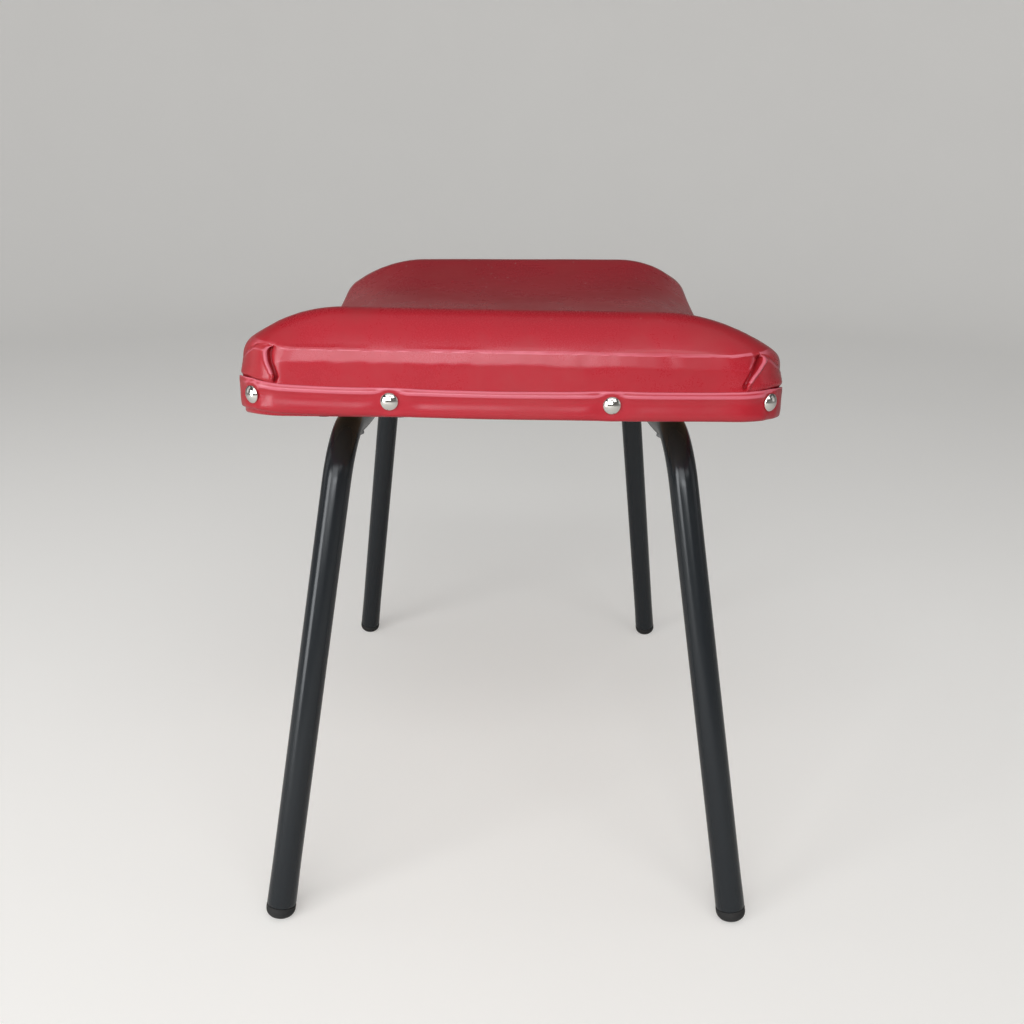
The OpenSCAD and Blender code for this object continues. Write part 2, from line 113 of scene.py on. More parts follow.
class BandSettings(bpy.types.PropertyGroup):
    """The vinyl band round the seat and its dome nails"""

    height: length("Height", "Height of the band", 20)
    thickness: length("Thickness", "Thickness of the band's flat part", 2)
    roll: length("Roll", "Radius of the rolled upper edge", 1.5)
    rise: length("Rise", "How far the band's upper edge stands above the board", 1)
    lift: length("Lift", "How far the upper edge is pushed up at a nail", 0.6)
    bulge: length("Bulge", "How far the band stands off the seat between nails", 0.5)
    nail_diameter: length("Nail", "Diameter of a nail's dome", 11)
    nail_dome: length("Dome", "Height of a nail's dome", 3)
    nail_margin: length("Margin", "Distance between the roll and the domes", 0.5)
    end_spacing: length("End spacing", "Distance between the middle nails of an end", 133)
    end_shift: length("End shift", "How far those nails stand off the end's middle", 6.5)
    side_nails: whole_number("Side nails", "Nails on a long side, between the corners", 3)
    corner_angle: angle("Corner angle", "Where a corner nail sits on its corner", 37)


class LegSettings(bpy.types.PropertyGroup):
    """The bent tubes and the plugs in their ends"""

    diameter: length("Tube", "Outer diameter of the tube", 20)
    wall: length("Wall", "Wall of the tube", 1.5)
    foot_x: length("Feet across", "Distance between the feet across the stool", 326)
    foot_y: length("Feet along", "Distance between the feet along the stool", 466)
    side_splay: angle("Side splay", "Lean of the legs seen from the end", 8)
    end_splay: angle("End splay", "Lean of the legs seen from the side", 13.9)
    bend: length("Bend", "Centreline radius of the bends", 42)
    flare: length("Flare", "How much the tube widens at its foot", 0.3)
    plug_rim: length("Rim", "Height of a plug's rim below the tube", 9)
    plug_step: length("Step", "How far a plug's rim stands past the tube", 0.4)
    plug_round: length("Round", "Radius of a plug's lower edge", 6)
    plug_wear: length("Wear", "Depth worn off a plug by the floor", 0.4)


class FinishSettings(bpy.types.PropertyGroup):
    """Colours of the materials"""

    vinyl: colour("Vinyl", "Red of the cover and band", (0.445, 0.0155, 0.027))
    vinyl_deep: colour("Deep vinyl", "Darker patches of the vinyl", (0.34, 0.0115, 0.019))
    vinyl_worn: colour("Worn vinyl", "Dulled patches of the vinyl", (0.36, 0.045, 0.045))
    # Pale pink painted highlight, mixed onto the vinyl where its skin bends sharply outwards
    vinyl_edge_highlight: colour("Painted edge highlight", "Pale pink painted highlight on sharp edges", (0.66, 0.15, 0.2))
    dust: colour("Dust", "Dust and lint on the vinyl and paint", (0.75, 0.70, 0.64))
    paint: colour("Paint", "Black paint of the tubes", (0.010, 0.0125, 0.018))
    paint_worn: colour("Worn paint", "Rubbed and scratched paint", (0.10, 0.105, 0.115))
    plastic: colour("Plastic", "Black plastic of the plugs", (0.018, 0.02, 0.026))
    nickel: colour("Nickel", "Plating of the dome nails", (0.86, 0.84, 0.80))
    tarnish: colour("Tarnish", "Dulled spots on the metals", (0.30, 0.25, 0.19))
    zinc: colour("Zinc", "Plating of the screws", (0.56, 0.58, 0.60))
    blued: colour("Blued steel", "Blued steel of the tacks", (0.03, 0.032, 0.04))
    plywood: colour("Plywood", "Face veneer of the board", (0.47, 0.27, 0.125))
    plywood_dark: colour("Dark grain", "Dark grain lines of the veneer", (0.25, 0.12, 0.05))
    foam: colour("Foam", "Foam of the pad", (0.74, 0.60, 0.33))


class StageSettings(bpy.types.PropertyGroup):
    """Camera, lights and floor"""

    camera_x: length("Camera X", "Place of the camera", -2.35)
    camera_y: length("Camera Y", "Place of the camera", -785.1)
    camera_z: length("Camera Z", "Place of the camera", 501.6)
    yaw: angle("Yaw", "Turn of the camera to the right", 0.344)
    pitch: angle("Pitch", "Turn of the camera downwards", 19.137)
    roll: angle("Roll", "Turn of the camera about its own axis", 0.66)
    lens: plain_number("Lens", "Focal length in millimetres on a 36 mm sensor", 33.4)
    floor: colour("Floor", "Colour of the floor and backdrop", (0.74, 0.73, 0.71))
    glow: share("Glow", "Brightness added to the floor where it is seen", 0.42)
    key_power: watts("Key light", "Power of the wide light in front", 20.5)
    high_power: watts("High light", "Power of the light high in front", 10)
    strip_power: watts("Strip light", "Power of the low strip in front", 4.5)
    slant_power: watts("Slant light", "Power of the light left in front", 14.5)
    corner_power: watts("Corner light", "Power of the light right in front", 4)
    top_power: watts("Top light", "Power of the wide light overhead", 9)
    side_power: watts("Side lights", "Power of the lights at the sides", 2.3)
    world: plain_number("Sky", "Strength of the even light", 0.08)


class FootstoolSettings(bpy.types.PropertyGroup):
    """Everything that a user may change"""

    seat: PointerProperty(type=SeatSettings)
    band: PointerProperty(type=BandSettings)
    legs: PointerProperty(type=LegSettings)
    finish: PointerProperty(type=FinishSettings)
    stage: PointerProperty(type=StageSettings)


# Meshes. A shape is a pair: its points, and its faces as the numbers of their points.


def smooth_step(value, low, high):
    part = np.clip((value - low) / (high - low), 0, 1)
    return part * part * (3 - 2 * part)


def points(x, y, z):
    return np.stack(np.broadcast_arrays(x, y, z), axis=-1)


def ripple(x, y, z, size, seed):
    """Smooth noise from -1 to 1 at each point, with waves about size metres long"""
    places = points(x, y, z) / size
    flat = places.reshape(-1, 3) + seed
    return np.array([noise.noise(Vector(place)) for place in flat]).reshape(places.shape[:-1])


def lattice(rows, wrap_rows=False):
    """The shape of closed rows of points that follow each other"""
    rows = np.asarray(rows)
    index = np.arange(rows.shape[0] * rows.shape[1]).reshape(rows.shape[:2])
    turned = np.roll(index, -1, axis=1)
    corners = (index, turned, np.roll(turned, -1, axis=0), np.roll(index, -1, axis=0))
    quads = np.stack(corners, axis=-1)
    if not wrap_rows:
        quads = quads[:-1]
    return rows.reshape(-1, 3), quads.reshape(-1, 4).tolist()


def capped(shape, size, point, last=True):
    """Closes a lattice with a fan from its last or first row to a point"""
    vertices, faces = shape
    start = len(vertices) - size if last else 0
    fan = [(start + i, start + (i + 1) % size, len(vertices)) for i in range(size)]
    if not last:
        fan = [(b, a, tip) for a, b, tip in fan]
    return np.vstack([vertices, [point]]), faces + fan


def joined(shapes):
    """One shape of several"""
    vertices, faces, offset = [], [], 0
    for places, corners in shapes:
        vertices.append(places)
        faces += [tuple(corner + offset for corner in face) for face in corners]
        offset += len(places)
    return np.vstack(vertices), faces


def circled(profile, segments):
    """Rows round the Z axis through (radius, height) points"""
    turn = np.linspace(0, 2 * math.pi, segments, endpoint=False)
    return [points(radius * np.cos(turn), radius * np.sin(turn), z) for radius, z in profile]


def lathe(profile, segments):
    """A turned solid about Z from (radius, height) points, closed at both ends on the axis"""
    shape = lattice(circled(profile[1:-1], segments))
    shape = capped(shape, segments, (0, 0, profile[-1][1]))
    return capped(shape, segments, (0, 0, profile[0][1]), last=False)


def placed(vertices, matrix):
    """Points moved by a 4 by 4 matrix"""
    turned = np.asarray(matrix)
    return vertices @ turned[:3, :3].T + turned[:3, 3]


def bend_along(rows, axis):
    """How sharply a lattice bends along one of its ways, as vectors off the bend"""
    before = rows - np.roll(rows, 1, axis)
    after = np.roll(rows, -1, axis) - rows
    first = np.linalg.norm(before, axis=-1, keepdims=True) + 1e-7
    second = np.linalg.norm(after, axis=-1, keepdims=True) + 1e-7
    return 2 * (before / first - after / second) / (first + second)


def sharpness(rows, closed=False):
    """How sharply a skin bends outwards at each of its points, as turn per millimetre"""
    rows = np.asarray(rows)
    across = np.roll(rows, -1, 1) - np.roll(rows, 1, 1)
    normal = np.cross(across, np.roll(rows, -1, 0) - np.roll(rows, 1, 0))
    normal /= np.linalg.norm(normal, axis=-1, keepdims=True) + 1e-12
    sharp = np.max([(bend_along(rows, way) * normal).sum(-1) for way in (0, 1)], axis=0)
    if not closed:
        sharp[[0, -1]] = 0
    return MM * np.clip(sharp, 0, 1000)


def mesh_object(name, shape, material_name):
    """A smooth mesh object in the scene"""
    mesh = bpy.data.meshes.new(name)
    mesh.from_pydata(shape[0].tolist(), [], shape[1])
    mesh.validate()
    mesh.shade_smooth()
    mesh.materials.append(material(material_name))
    holder = bpy.data.objects.new(name, mesh)
    bpy.context.scene.collection.objects.link(holder)
    return holder


def make_piece(name, shape, material_name, node, sharp=None):
    """A mesh object that rides on the stool in place of a node of the solids"""
    piece = mesh_object(name, shape, material_name)
    # The sharpness is kept on the mesh as the mask for the vinyl's painted edge highlight
    if sharp is not None:
        marks = np.zeros(len(shape[0]))
        marks[: sharp.size] = sharp.ravel()
        mark = piece.data.attributes.new("sharpness", "FLOAT", "POINT")
        mark.data.foreach_set("value", marks)
    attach(piece, BODY)
    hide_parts(node)
    return piece


# Shape of the seat


def saddle(seat):
    """Radius of the saddle's middle, and the turn at which its ends begin to level out"""
    half = seat.length / 2
    whole = (half**2 + seat.saddle_dip**2) / (2 * seat.saddle_dip)
    return whole - seat.end_ease, math.asin(half / whole)


def face_height(seat, y, depth):
    """Height of a face that lies at a depth below the board's upper one"""
    radius, turn = saddle(seat)
    away = np.abs(y)
    bowl = np.sqrt(np.maximum((radius + depth) ** 2 - np.square(away), 0))
    hump = seat.end_ease - depth
    past = np.clip(seat.length / 2 - away, 0, hump)
    middle = seat.end_height - seat.saddle_dip + radius - bowl
    end = seat.end_height - seat.end_ease + np.sqrt(hump**2 - past**2)
    return np.where(away < (radius + depth) * math.sin(turn), middle, end)


def on_board(seat, x, y, height):
    """Points at a height above the board's upper face"""
    return points(x, y, face_height(seat, y, 0) + height)


def under_board(seat, x, y, drop):
    """Points below the board's lower face"""
    return points(x, y, face_height(seat, y, seat.board_thickness) - drop)


def rise(distance, reach):
    """Share of the crown's rise at a distance in from an edge"""
    return 1 - (1 - np.clip(distance / reach, 0, 1)) ** 2


def corner_share(seat, x, y):
    """1 on the corners' rounding, fading to 0 along the sides and ends"""
    across = 1 - (seat.width / 2 - np.abs(x)) / seat.shoulder_corner
    along = 1 - (seat.length / 2 - np.abs(y)) / seat.shoulder_corner
    return 4 * (np.maximum(across, 0) * np.maximum(along, 0)) ** 2


def racked(seat, x, y):
    """Share of the seat's twist: 1 over the left near corner, -1 over the right one"""
    return np.clip(4 * x * y / (seat.width * seat.length), -1, 1)


def edge_rise(seat, x, y):
    """Height above the board at which the upright face would meet the crowned top"""
    drop = seat.corner_drop * corner_share(seat, x, y) + seat.sag
    return seat.edge_height - drop + seat.twist * (racked(seat, x, y) + 0.25)


def crown(seat, x, y):
    """Height of the cushion's top above the board"""
    reach = seat.side_shoulder * (1 - seat.slump * racked(seat, x, y))
    full = rise(seat.width / 2 - np.abs(x), reach)
    lean = math.tan(seat.face_tilt) * seat.tilt_height
    full = full * rise(seat.length / 2 - lean - np.abs(y), seat.end_shoulder - lean)
    return edge_rise(seat, x, y) + (seat.crown_height - seat.edge_height + seat.sag) * full


def sway(seat, y, height):
    """How far the cushion leans to the right, more so towards its top and the far end"""
    return seat.drift * (0.5 + y / seat.length) * smooth_step(height, 0, seat.edge_height)


QUARTERS = ((1, -1), (1, 1), (-1, 1), (-1, -1))


class Stations:
    """Places round the seat, by their distance from the middle of the nearest end"""

    def __init__(self, seat, quarters):
        self.seat = seat
        runs = [steps[:0:-1] if odd else steps[:-1] for odd, steps in zip((0, 1, 0, 1), quarters)]
        self.reference = np.concatenate(runs)
        self.quarter = np.repeat(np.arange(4), [len(run) for run in runs])
        self.across, self.along = np.array(QUARTERS)[self.quarter].T
        corner = seat.shoulder_corner
        flat, run = seat.width / 2 - corner, seat.length / 2 - corner
        self.on_end = np.clip(self.reference / flat, 0, 1)
        self.turn = np.clip((self.reference - flat) / corner, 0, math.pi / 2)
        self.on_side = np.clip((self.reference - flat - corner * math.pi / 2) / run, 0, 1)

    @staticmethod
    def whole(seat):
        """Reference distance from the middle of an end to the middle of a side"""
        corner = seat.shoulder_corner
        return seat.width / 2 + seat.length / 2 - (2 - math.pi / 2) * corner

    @classmethod
    def even(cls, seat, count):
        """Stations that are evenly spread, a count of them to a quarter"""
        return cls(seat, [np.linspace(0, cls.whole(seat), count)] * 4)

    def end_weight(self):
        """1 on the ends, 0 on the sides, and between them at the corners"""
        return np.cos(self.turn) ** 2

    def outline(self, inset, corner):
        """X and Y of the outline at an inset from the widest one, with a corner radius"""
        flat = self.seat.width / 2 - inset - corner
        run = self.seat.length / 2 - inset - corner
        x = self.on_end * flat + corner * np.sin(self.turn)
        y = (1 - self.on_side) * run + corner * np.cos(self.turn)
        return self.across * x, self.along * y

    def outward(self):
        """Direction out of the seat at each station"""
        return self.across * np.sin(self.turn), self.along * np.cos(self.turn)

    def sideways(self):
        """Direction along the outline, away from the middle of the nearest end"""
        return self.across * np.cos(self.turn), -self.along * np.sin(self.turn)

    def position(self):
        """Distance round the seat from the middle of the near end, by the right side first"""
        whole = self.whole(self.seat)
        forth = self.quarter * whole + self.reference
        back = (self.quarter + 1) * whole - self.reference
        return np.where(self.quarter % 2 == 0, forth, back)


# How the band was laid by hand: distance from an end's middle, then how far its upper
# edge, its nails and its lower edge lie above their nominal lines
BAND_LAY = (
    (-378, -1.0, 0.0, 0.4), (-250, 0.0, 0.0, 0.8), (-194, 2.6, 0.8, 2.4), (-167, 2.6, 1.2, 3.2),
    (-142, 0.5, 1.2, 2.4), (-116, -1.3, 0.0, 1.0), (-62, -2.5, -1.4, 0.0), (-6, -3.7, -2.0, -0.8),
    (50, -3.4, -2.4, -1.3), (104, -3.0, -1.5, -1.1), (156, -2.2, -0.5, -0.6), (194, -1.4, -0.3, 0),
    (250, -1.0, 0.0, 0.4), (378, -1.0, 0.0, 0.4),
)
UPPER, NAILS, LOWER = 1, 2, 3


def band_lay(stations, line):
    """How far one of the band's lines lies above its nominal height at each station"""
    table = MM * np.array(BAND_LAY)
    place = -stations.along * stations.across * stations.reference
    steps = MM * np.linspace(-14, 14, 7)
    return np.mean([np.interp(place + s, table[:, 0], table[:, line]) for s in steps], axis=0)


def band_top(seat, band, stations):
    """Height of the band's upper edge above the board at each station"""
    x, y = stations.outline(0, seat.board_corner)
    wander = 0.35 * MM * ripple(x, y, 0, 38 * MM, 8.3)
    return band.rise + band_lay(stations, UPPER) + wander


# A pleat's slit on an end face, by quarter: depths below the edge and distances from the
# end's middle, the depths between which it opens, and the widths of the hollow beside it
PLEATS = (
    {
        "depth": (-4, -2, -0.8, -0.2, 0.8, 2.5, 4.7, 7.2, 12.2, 17.4, 23.6, 26),
        "place": (142, 144, 145.7, 148.2, 149.5, 150.6, 150.2, 148.4, 143.3, 137.3, 131.1, 129.2),
        "start": (0.6, 3.6),
        "hollow": ((0, 2, 8, 14, 20), (4, 7, 7, 4, 2)),
    },
    {
        "depth": (-4, 0, 0.9, 2.6, 5.4, 9, 13.5, 18, 22, 26),
        "place": (138, 142, 144, 145.2, 144.4, 141.6, 137.8, 133.9, 131, 128.6),
        "start": (0.4, 3.0),
        "hollow": ((2, 4, 9.7, 15.7, 21.6), (1.5, 3, 3, 2, 1.5)),
    },
    {
        "depth": (-4, -2, -0.8, 0, 1.2, 3, 5.4, 8, 13, 18, 23.6, 26),
        "place": (141, 143.5, 145.4, 147.6, 148.8, 148.8, 146.9, 143.6, 137.7, 132, 127, 125.5),
        "start": (0.6, 3.6),
        "hollow": ((0, 2, 8, 14, 20), (3, 5, 5, 3, 2)),
    },
    {
        "depth": (-4, 0, 0.8, 2.2, 5, 8.5, 13, 17.6, 22, 26),
        "place": (136.5, 139.6, 142, 143.8, 144.2, 143.1, 140.9, 137.6, 134.5, 131.4),
        "start": (0.4, 3.0),
        "hollow": ((2, 4, 9.7, 15.7, 21.6), (1.5, 2.5, 2.5, 2, 1.5)),
    },
)
# Section across a pleat: distance past the slit, shift along the face, and how far it
# stands out of the face. The roll hangs over the slit.
PLEAT_SECTION = (
    (-16, 0, 0), (-11, 0, -0.03), (-8, 0, -0.1), (-6, 0, -0.2), (-4.4, 0, -0.32),
    (-3.2, 0, -0.48), (-2.4, 0, -0.7), (-1.8, 0.1, -1.05), (-1.4, 0.25, -1.6),
    (-1.1, 0.45, -2.2), (-0.8, 0.75, -2.7), (-0.5, 1.1, -2.9), (-0.2, 1.3, -2.6),
    (0.05, 1.1, -1.8), (0.25, 0.7, -0.8), (0.45, 0.3, 0.1), (0.65, 0.05, 0.8),
    (0.9, -0.05, 1.35), (1.3, 0, 1.8), (1.8, 0, 2.0), (2.4, 0, 1.95), (3.0, 0, 1.65),
    (3.8, 0, 1.1), (4.7, 0, 0.85), (6.0, 0, 0.85), (8.5, 0, 0.85), (13, 0, 0.65), (21, 0, 0.35),
)
PLEAT_COLUMNS = MM * np.array(PLEAT_SECTION)[:, 0]
PLEAT_END = 34 * MM
PLEAT_FOOT = 25 * MM
INNER_COLUMNS, OUTER_COLUMNS = 44, 34
# Depth of a pleat's hollow, as a share of its width
HOLLOW_DEPTH = 0.48


def fold_place(number, depth):
    """Distance of a quarter's slit from the end's middle, at a depth below the edge"""
    pleat = PLEATS[number]
    return MM * np.interp(depth / MM, pleat["depth"], pleat["place"])


def pleated_stations(seat, depth):
    """Stations that crowd round the slits"""
    quarters = []
    for number in range(4):
        fold = fold_place(number, depth)
        inner = np.linspace(0, fold + PLEAT_COLUMNS[0], INNER_COLUMNS, endpoint=False)
        outer = np.linspace(fold + PLEAT_END, Stations.whole(seat), OUTER_COLUMNS)
        quarters.append(np.concatenate([inner, fold + PLEAT_COLUMNS, outer]))
    return Stations(seat, quarters)


def past_slit(stations, depth):
    """Distance of each station past its quarter's slit"""
    folds = np.array([fold_place(number, depth) for number in range(4)])
    return stations.reference - folds[stations.quarter]


def pleat_move(seat, stations, depth):
    """How far the vinyl shifts along the end face and stands out of it at each station"""
    distance, shift, height = np.array(PLEAT_SECTION + ((PLEAT_END / MM, 0, 0),)).T
    past = past_slit(stations, depth) / MM
    along, out = np.interp(past, distance, shift), np.interp(past, distance, height)
    for number, pleat in enumerate(PLEATS):
        mine = stations.quarter == number
        start, end = pleat["start"]
        width = np.interp(depth / MM, *pleat["hollow"])
        hollow = np.clip(1 + past[mine] / width, 0, 1) ** 1.3 * (past[mine] < 0.3)
        section = out[mine]
        rolled = smooth_step(depth / MM, start, end + 3)
        section = np.where(section > 0, rolled * section, section)
        shown = seat.pleat * MM * smooth_step(depth / MM, start, end)
        along[mine] *= shown
        out[mine] = shown * (section - HOLLOW_DEPTH * width * hollow)
    return along, out


def inside_slits(seat):
    """Which columns of the cover's skin lie on the inner side of a slit"""
    past = past_slit(pleated_stations(seat, PLEAT_FOOT), PLEAT_FOOT)
    return (past > -6 * MM) & (past < 0.4 * MM)


def pleat_room(stations, depth):
    """How far the foam keeps back behind the pleats"""
    past = np.abs(past_slit(stations, depth))
    return 5.5 * MM * smooth_step(-past, -24 * MM, -12 * MM)


def wall_inset(seat, stations, height, over_band):
    """How far the cover's upright face lies inside the widest outline"""
    reach = over_band + 2.8 * MM * stations.end_weight() ** 4
    drawn = seat.cover_draw * (1 - smooth_step(reach, -0.4 * MM, 2.4 * MM))
    x, y = stations.outline(0, seat.shoulder_corner)
    start = edge_rise(seat, x, y) - seat.tilt_height + 1.2 * MM * ripple(x, y, 0, 8 * MM, 3.1)
    over = height - start
    lean = (over + np.sqrt(over**2 + (0.7 * MM) ** 2)) / 2
    return drawn + stations.end_weight() * math.tan(seat.face_tilt) * lean


def wall_corner(seat, height, top):
    """Corner radius of the cover's outline at a height, full at the upright face's top"""
    part = np.clip((height - 3 * MM) / np.maximum(top - 3 * MM, 1 * MM), 0, 1)
    return seat.board_corner + part * (seat.shoulder_corner - seat.board_corner)


def top_corner(seat, inset):
    return np.maximum(seat.shoulder_corner - inset, 6 * MM)


def slope_height(seat, stations, inset):
    """Height above the board of the crowned top at an inset"""
    return crown(seat, *stations.outline(inset, top_corner(seat, inset)))


def edge_corner(seat, stations):
    """Inset and height at which the upright face would meet the crowned top"""
    height = np.full(len(stations.reference), seat.edge_height)
    for _ in range(6):
        inset = wall_inset(seat, stations, height, height)
        height = slope_height(seat, stations, inset)
    return inset, height


def ring(seat, stations, inset, corner, height, move=(0.0, 0.0)):
    """A row of points at a height above the board, moved along the face and out of it"""
    x, y = stations.outline(inset, corner)
    out_x, out_y = stations.outward()
    side_x, side_y = stations.sideways()
    x = x + move[1] * out_x + move[0] * side_x + sway(seat, y, height)
    y = y + move[1] * out_y + move[0] * side_y
    return on_board(seat, x, y, height)


# Rows of the cushion's skin: millimetres above the band's edge at its foot, then shares of
# the upright face, of its upper edge, of the slope to the crown and of the way to its middle
FOOT_STEPS = (-4.0, -3.2, -2.6, -2.0, -1.4, -0.8, -0.3, 0.3, 0.9, 1.5, 2.1, 2.7, 3.3)
WALL_STEPS = np.linspace(0, 1, 25)
EDGE_STEPS = (0.12, 0.25, 0.38, 0.5, 0.62, 0.75, 0.88)
TOP_STEPS = (
    0, 0.02, 0.045, 0.08, 0.12, 0.17, 0.23, 0.3, 0.38, 0.46, 0.55, 0.64, 0.74, 0.84, 0.92, 1,
)
CENTRE_STEPS = np.linspace(1, 0.03, 24)[1:]


def cushion_rows(seat, band, stations_at, depth=0.0):
    """Rows of a cushion's skin from the band up to the crown, and the crown's middle.

    A depth makes the foam's rows, which lie below the cover's and keep clear of its pleats.
    """
    rows = []

    def add_row(stations, inset, corner, height, below_edge, over_band):
        if depth:
            move = 0.0, -pleat_room(stations, below_edge)
        else:
            along, out = pleat_move(seat, stations, below_edge)
            freed = smooth_step(over_band, -0.2 * MM, 2.4 * MM)
            move = along * freed, out * freed
        rows.append(ring(seat, stations, inset + depth, corner - depth, height, move))

    def add_wall_row(stations, height, lowered, below_edge, over_band):
        inset = wall_inset(seat, stations, height, over_band)
        corner = wall_corner(seat, height, start) - inset
        add_row(stations, inset, corner, height - lowered, below_edge, over_band)

    top = stations_at(0.0)
    edge_inset, edge_height = edge_corner(seat, top)
    crisp = smooth_step(top.end_weight(), 0.3, 0.72)
    reach = seat.side_edge + (seat.end_edge - seat.side_edge) * crisp
    start = edge_height - reach
    below = stations_at(PLEAT_FOOT)
    edge_of_band = band_top(seat, band, below)
    for over in FOOT_STEPS:
        add_wall_row(below, edge_of_band + over * MM, 0, PLEAT_FOOT, over * MM)
    foot = edge_of_band + (FOOT_STEPS[-1] + 0.7) * MM
    for part in WALL_STEPS:
        height = foot + part * (start - foot)
        below_edge = PLEAT_FOOT + part * (seat.end_edge - PLEAT_FOOT)
        stations = stations_at(below_edge)
        add_wall_row(stations, height, part * depth, below_edge, height - edge_of_band)
    first_inset = wall_inset(seat, top, start, start)
    last_inset = edge_inset + 0.62 * reach
    last_height = slope_height(seat, top, last_inset)
    for part in EDGE_STEPS:
        weights = ((1 - part) ** 2, 2 * part * (1 - part), part**2)
        inset = weights[0] * first_inset + weights[1] * edge_inset + weights[2] * last_inset
        height = weights[0] * start + weights[1] * edge_height + weights[2] * last_height
        below_edge = (1 - part) * seat.end_edge
        corner = top_corner(seat, inset)
        add_row(stations_at(below_edge), inset, corner, height - depth, below_edge, height)
    for part in TOP_STEPS:
        inset = last_inset + part * (seat.side_shoulder - last_inset)
        height = slope_height(seat, top, inset) - depth
        corner = np.maximum(top_corner(seat, inset) - depth, 5 * MM)
        rows.append(ring(seat, top, inset + depth, corner, height))
    rim_x, rim_y = rows[-1][:, 0], rows[-1][:, 1]
    rim_x = rim_x - sway(seat, rim_y, seat.crown_height)
    for part in CENTRE_STEPS:
        x, y = part * rim_x, part * rim_y
        height = crown(seat, x, y)
        rows.append(on_board(seat, x + sway(seat, y, height), y, height - depth))
    return rows, on_board(seat, seat.drift / 2, 0, crown(seat, 0, 0) - depth)


def hem_rows(seat, stations):
    """Rows of the cover's hem under the board, from its inner edge outwards"""
    rows = []
    gather = np.sin(7 * stations.turn) ** 2 * (stations.turn > 0) * (stations.on_side == 0)
    x, y = stations.outline(0, seat.board_corner)
    wander = ripple(x, y, 0, 45 * MM, 5.7)
    drop = seat.fit_gap + seat.cover_thickness
    for part in (1, 0.97, 0.8, 0.6, 0.4, 0.2, 0.08):
        inset = seat.cover_draw + part * seat.hem_width + 1.2 * MM * part * wander
        x, y = stations.outline(inset, seat.board_corner - seat.cover_draw)
        sunk = part * (0.9 * gather + 0.1 + 0.1 * wander) * MM
        rows.append(under_board(seat, x, y, drop + sunk))
    for inset, up in ((1.0, 0.1), (0.35, 0.55), (0.0, 1.4), (0.0, 6.0)):
        inset = seat.cover_draw + inset * MM
        x, y = stations.outline(inset, seat.board_corner - inset)
        rows.append(under_board(seat, x, y, drop - up * MM))
    return rows


# Band and nails


def nail_places(seat, band):
    """X, Y and outward angle of each dome nail, where its dome meets the band"""
    corner = seat.board_corner
    corner_x, corner_y = seat.width / 2 - corner, seat.length / 2 - corner
    places = []
    for side, end in QUARTERS:
        x = side * (corner_x + corner * math.sin(band.corner_angle))
        y = end * (corner_y + corner * math.cos(band.corner_angle))
        places.append((x, y, math.atan2(y - end * corner_y, x - side * corner_x)))
    for end in (-1, 1):
        for side in (-1, 1):
            x = side * band.end_spacing / 2 - band.end_shift
            places.append((x, end * seat.length / 2, end * math.pi / 2))
    for side in (-1, 1):
        for number in range(1, band.side_nails + 1):
            y = -seat.length / 2 + seat.length * number / (band.side_nails + 1)
            places.append((side * seat.width / 2, y, 0 if side > 0 else math.pi))
    return places


def nail_line(seat, band):
    """How far round the seat each nail sits, and its height above the board"""
    guide = Stations.even(seat, 500)
    x, y = guide.outline(0, seat.board_corner)
    nominal = band.rise - 2 * band.roll - band.nail_margin - band.nail_diameter / 2
    found = [np.argmin(np.hypot(x - place[0], y - place[1])) for place in nail_places(seat, band)]
    return guide.position()[found], nominal + band_lay(guide, NAILS)[found]


# Section of the band: share of its height below the upper edge, and millimetres that it
# stands off the seat, down the outer face and up the back
BAND_FACE = (
    (0.0, 1.35), (0.01, 1.7), (0.03, 1.95), (0.06, 2.2), (0.095, 2.42), (0.13, 2.6),
    (0.165, 2.68), (0.2, 2.6), (0.25, 2.3), (0.31, 2.0), (0.38, 1.82), (0.46, 1.85),
    (0.54, 2.05), (0.62, 2.35), (0.7, 2.6), (0.78, 2.75), (0.85, 2.65), (0.91, 2.3),
    (0.955, 1.75), (0.985, 1.15), (1.0, 0.6),
)
BAND_BACK = (
    (0.99, 0.1), (0.9, 0), (0.6, 0), (0.3, 0), (0.21, 0.1), (0.15, 0.7), (0.08, 1.15), (0.02, 1.25),
)
ROLL_ROWS = 10
NAIL_PULL = 16 * MM
CREASE_REACH, CREASE_WIDTH = 10 * MM, 5 * MM
SLACK_LENGTH = 110 * MM
NAIL_SEGMENTS = 48
NAIL_LEAN = math.radians(1.6)


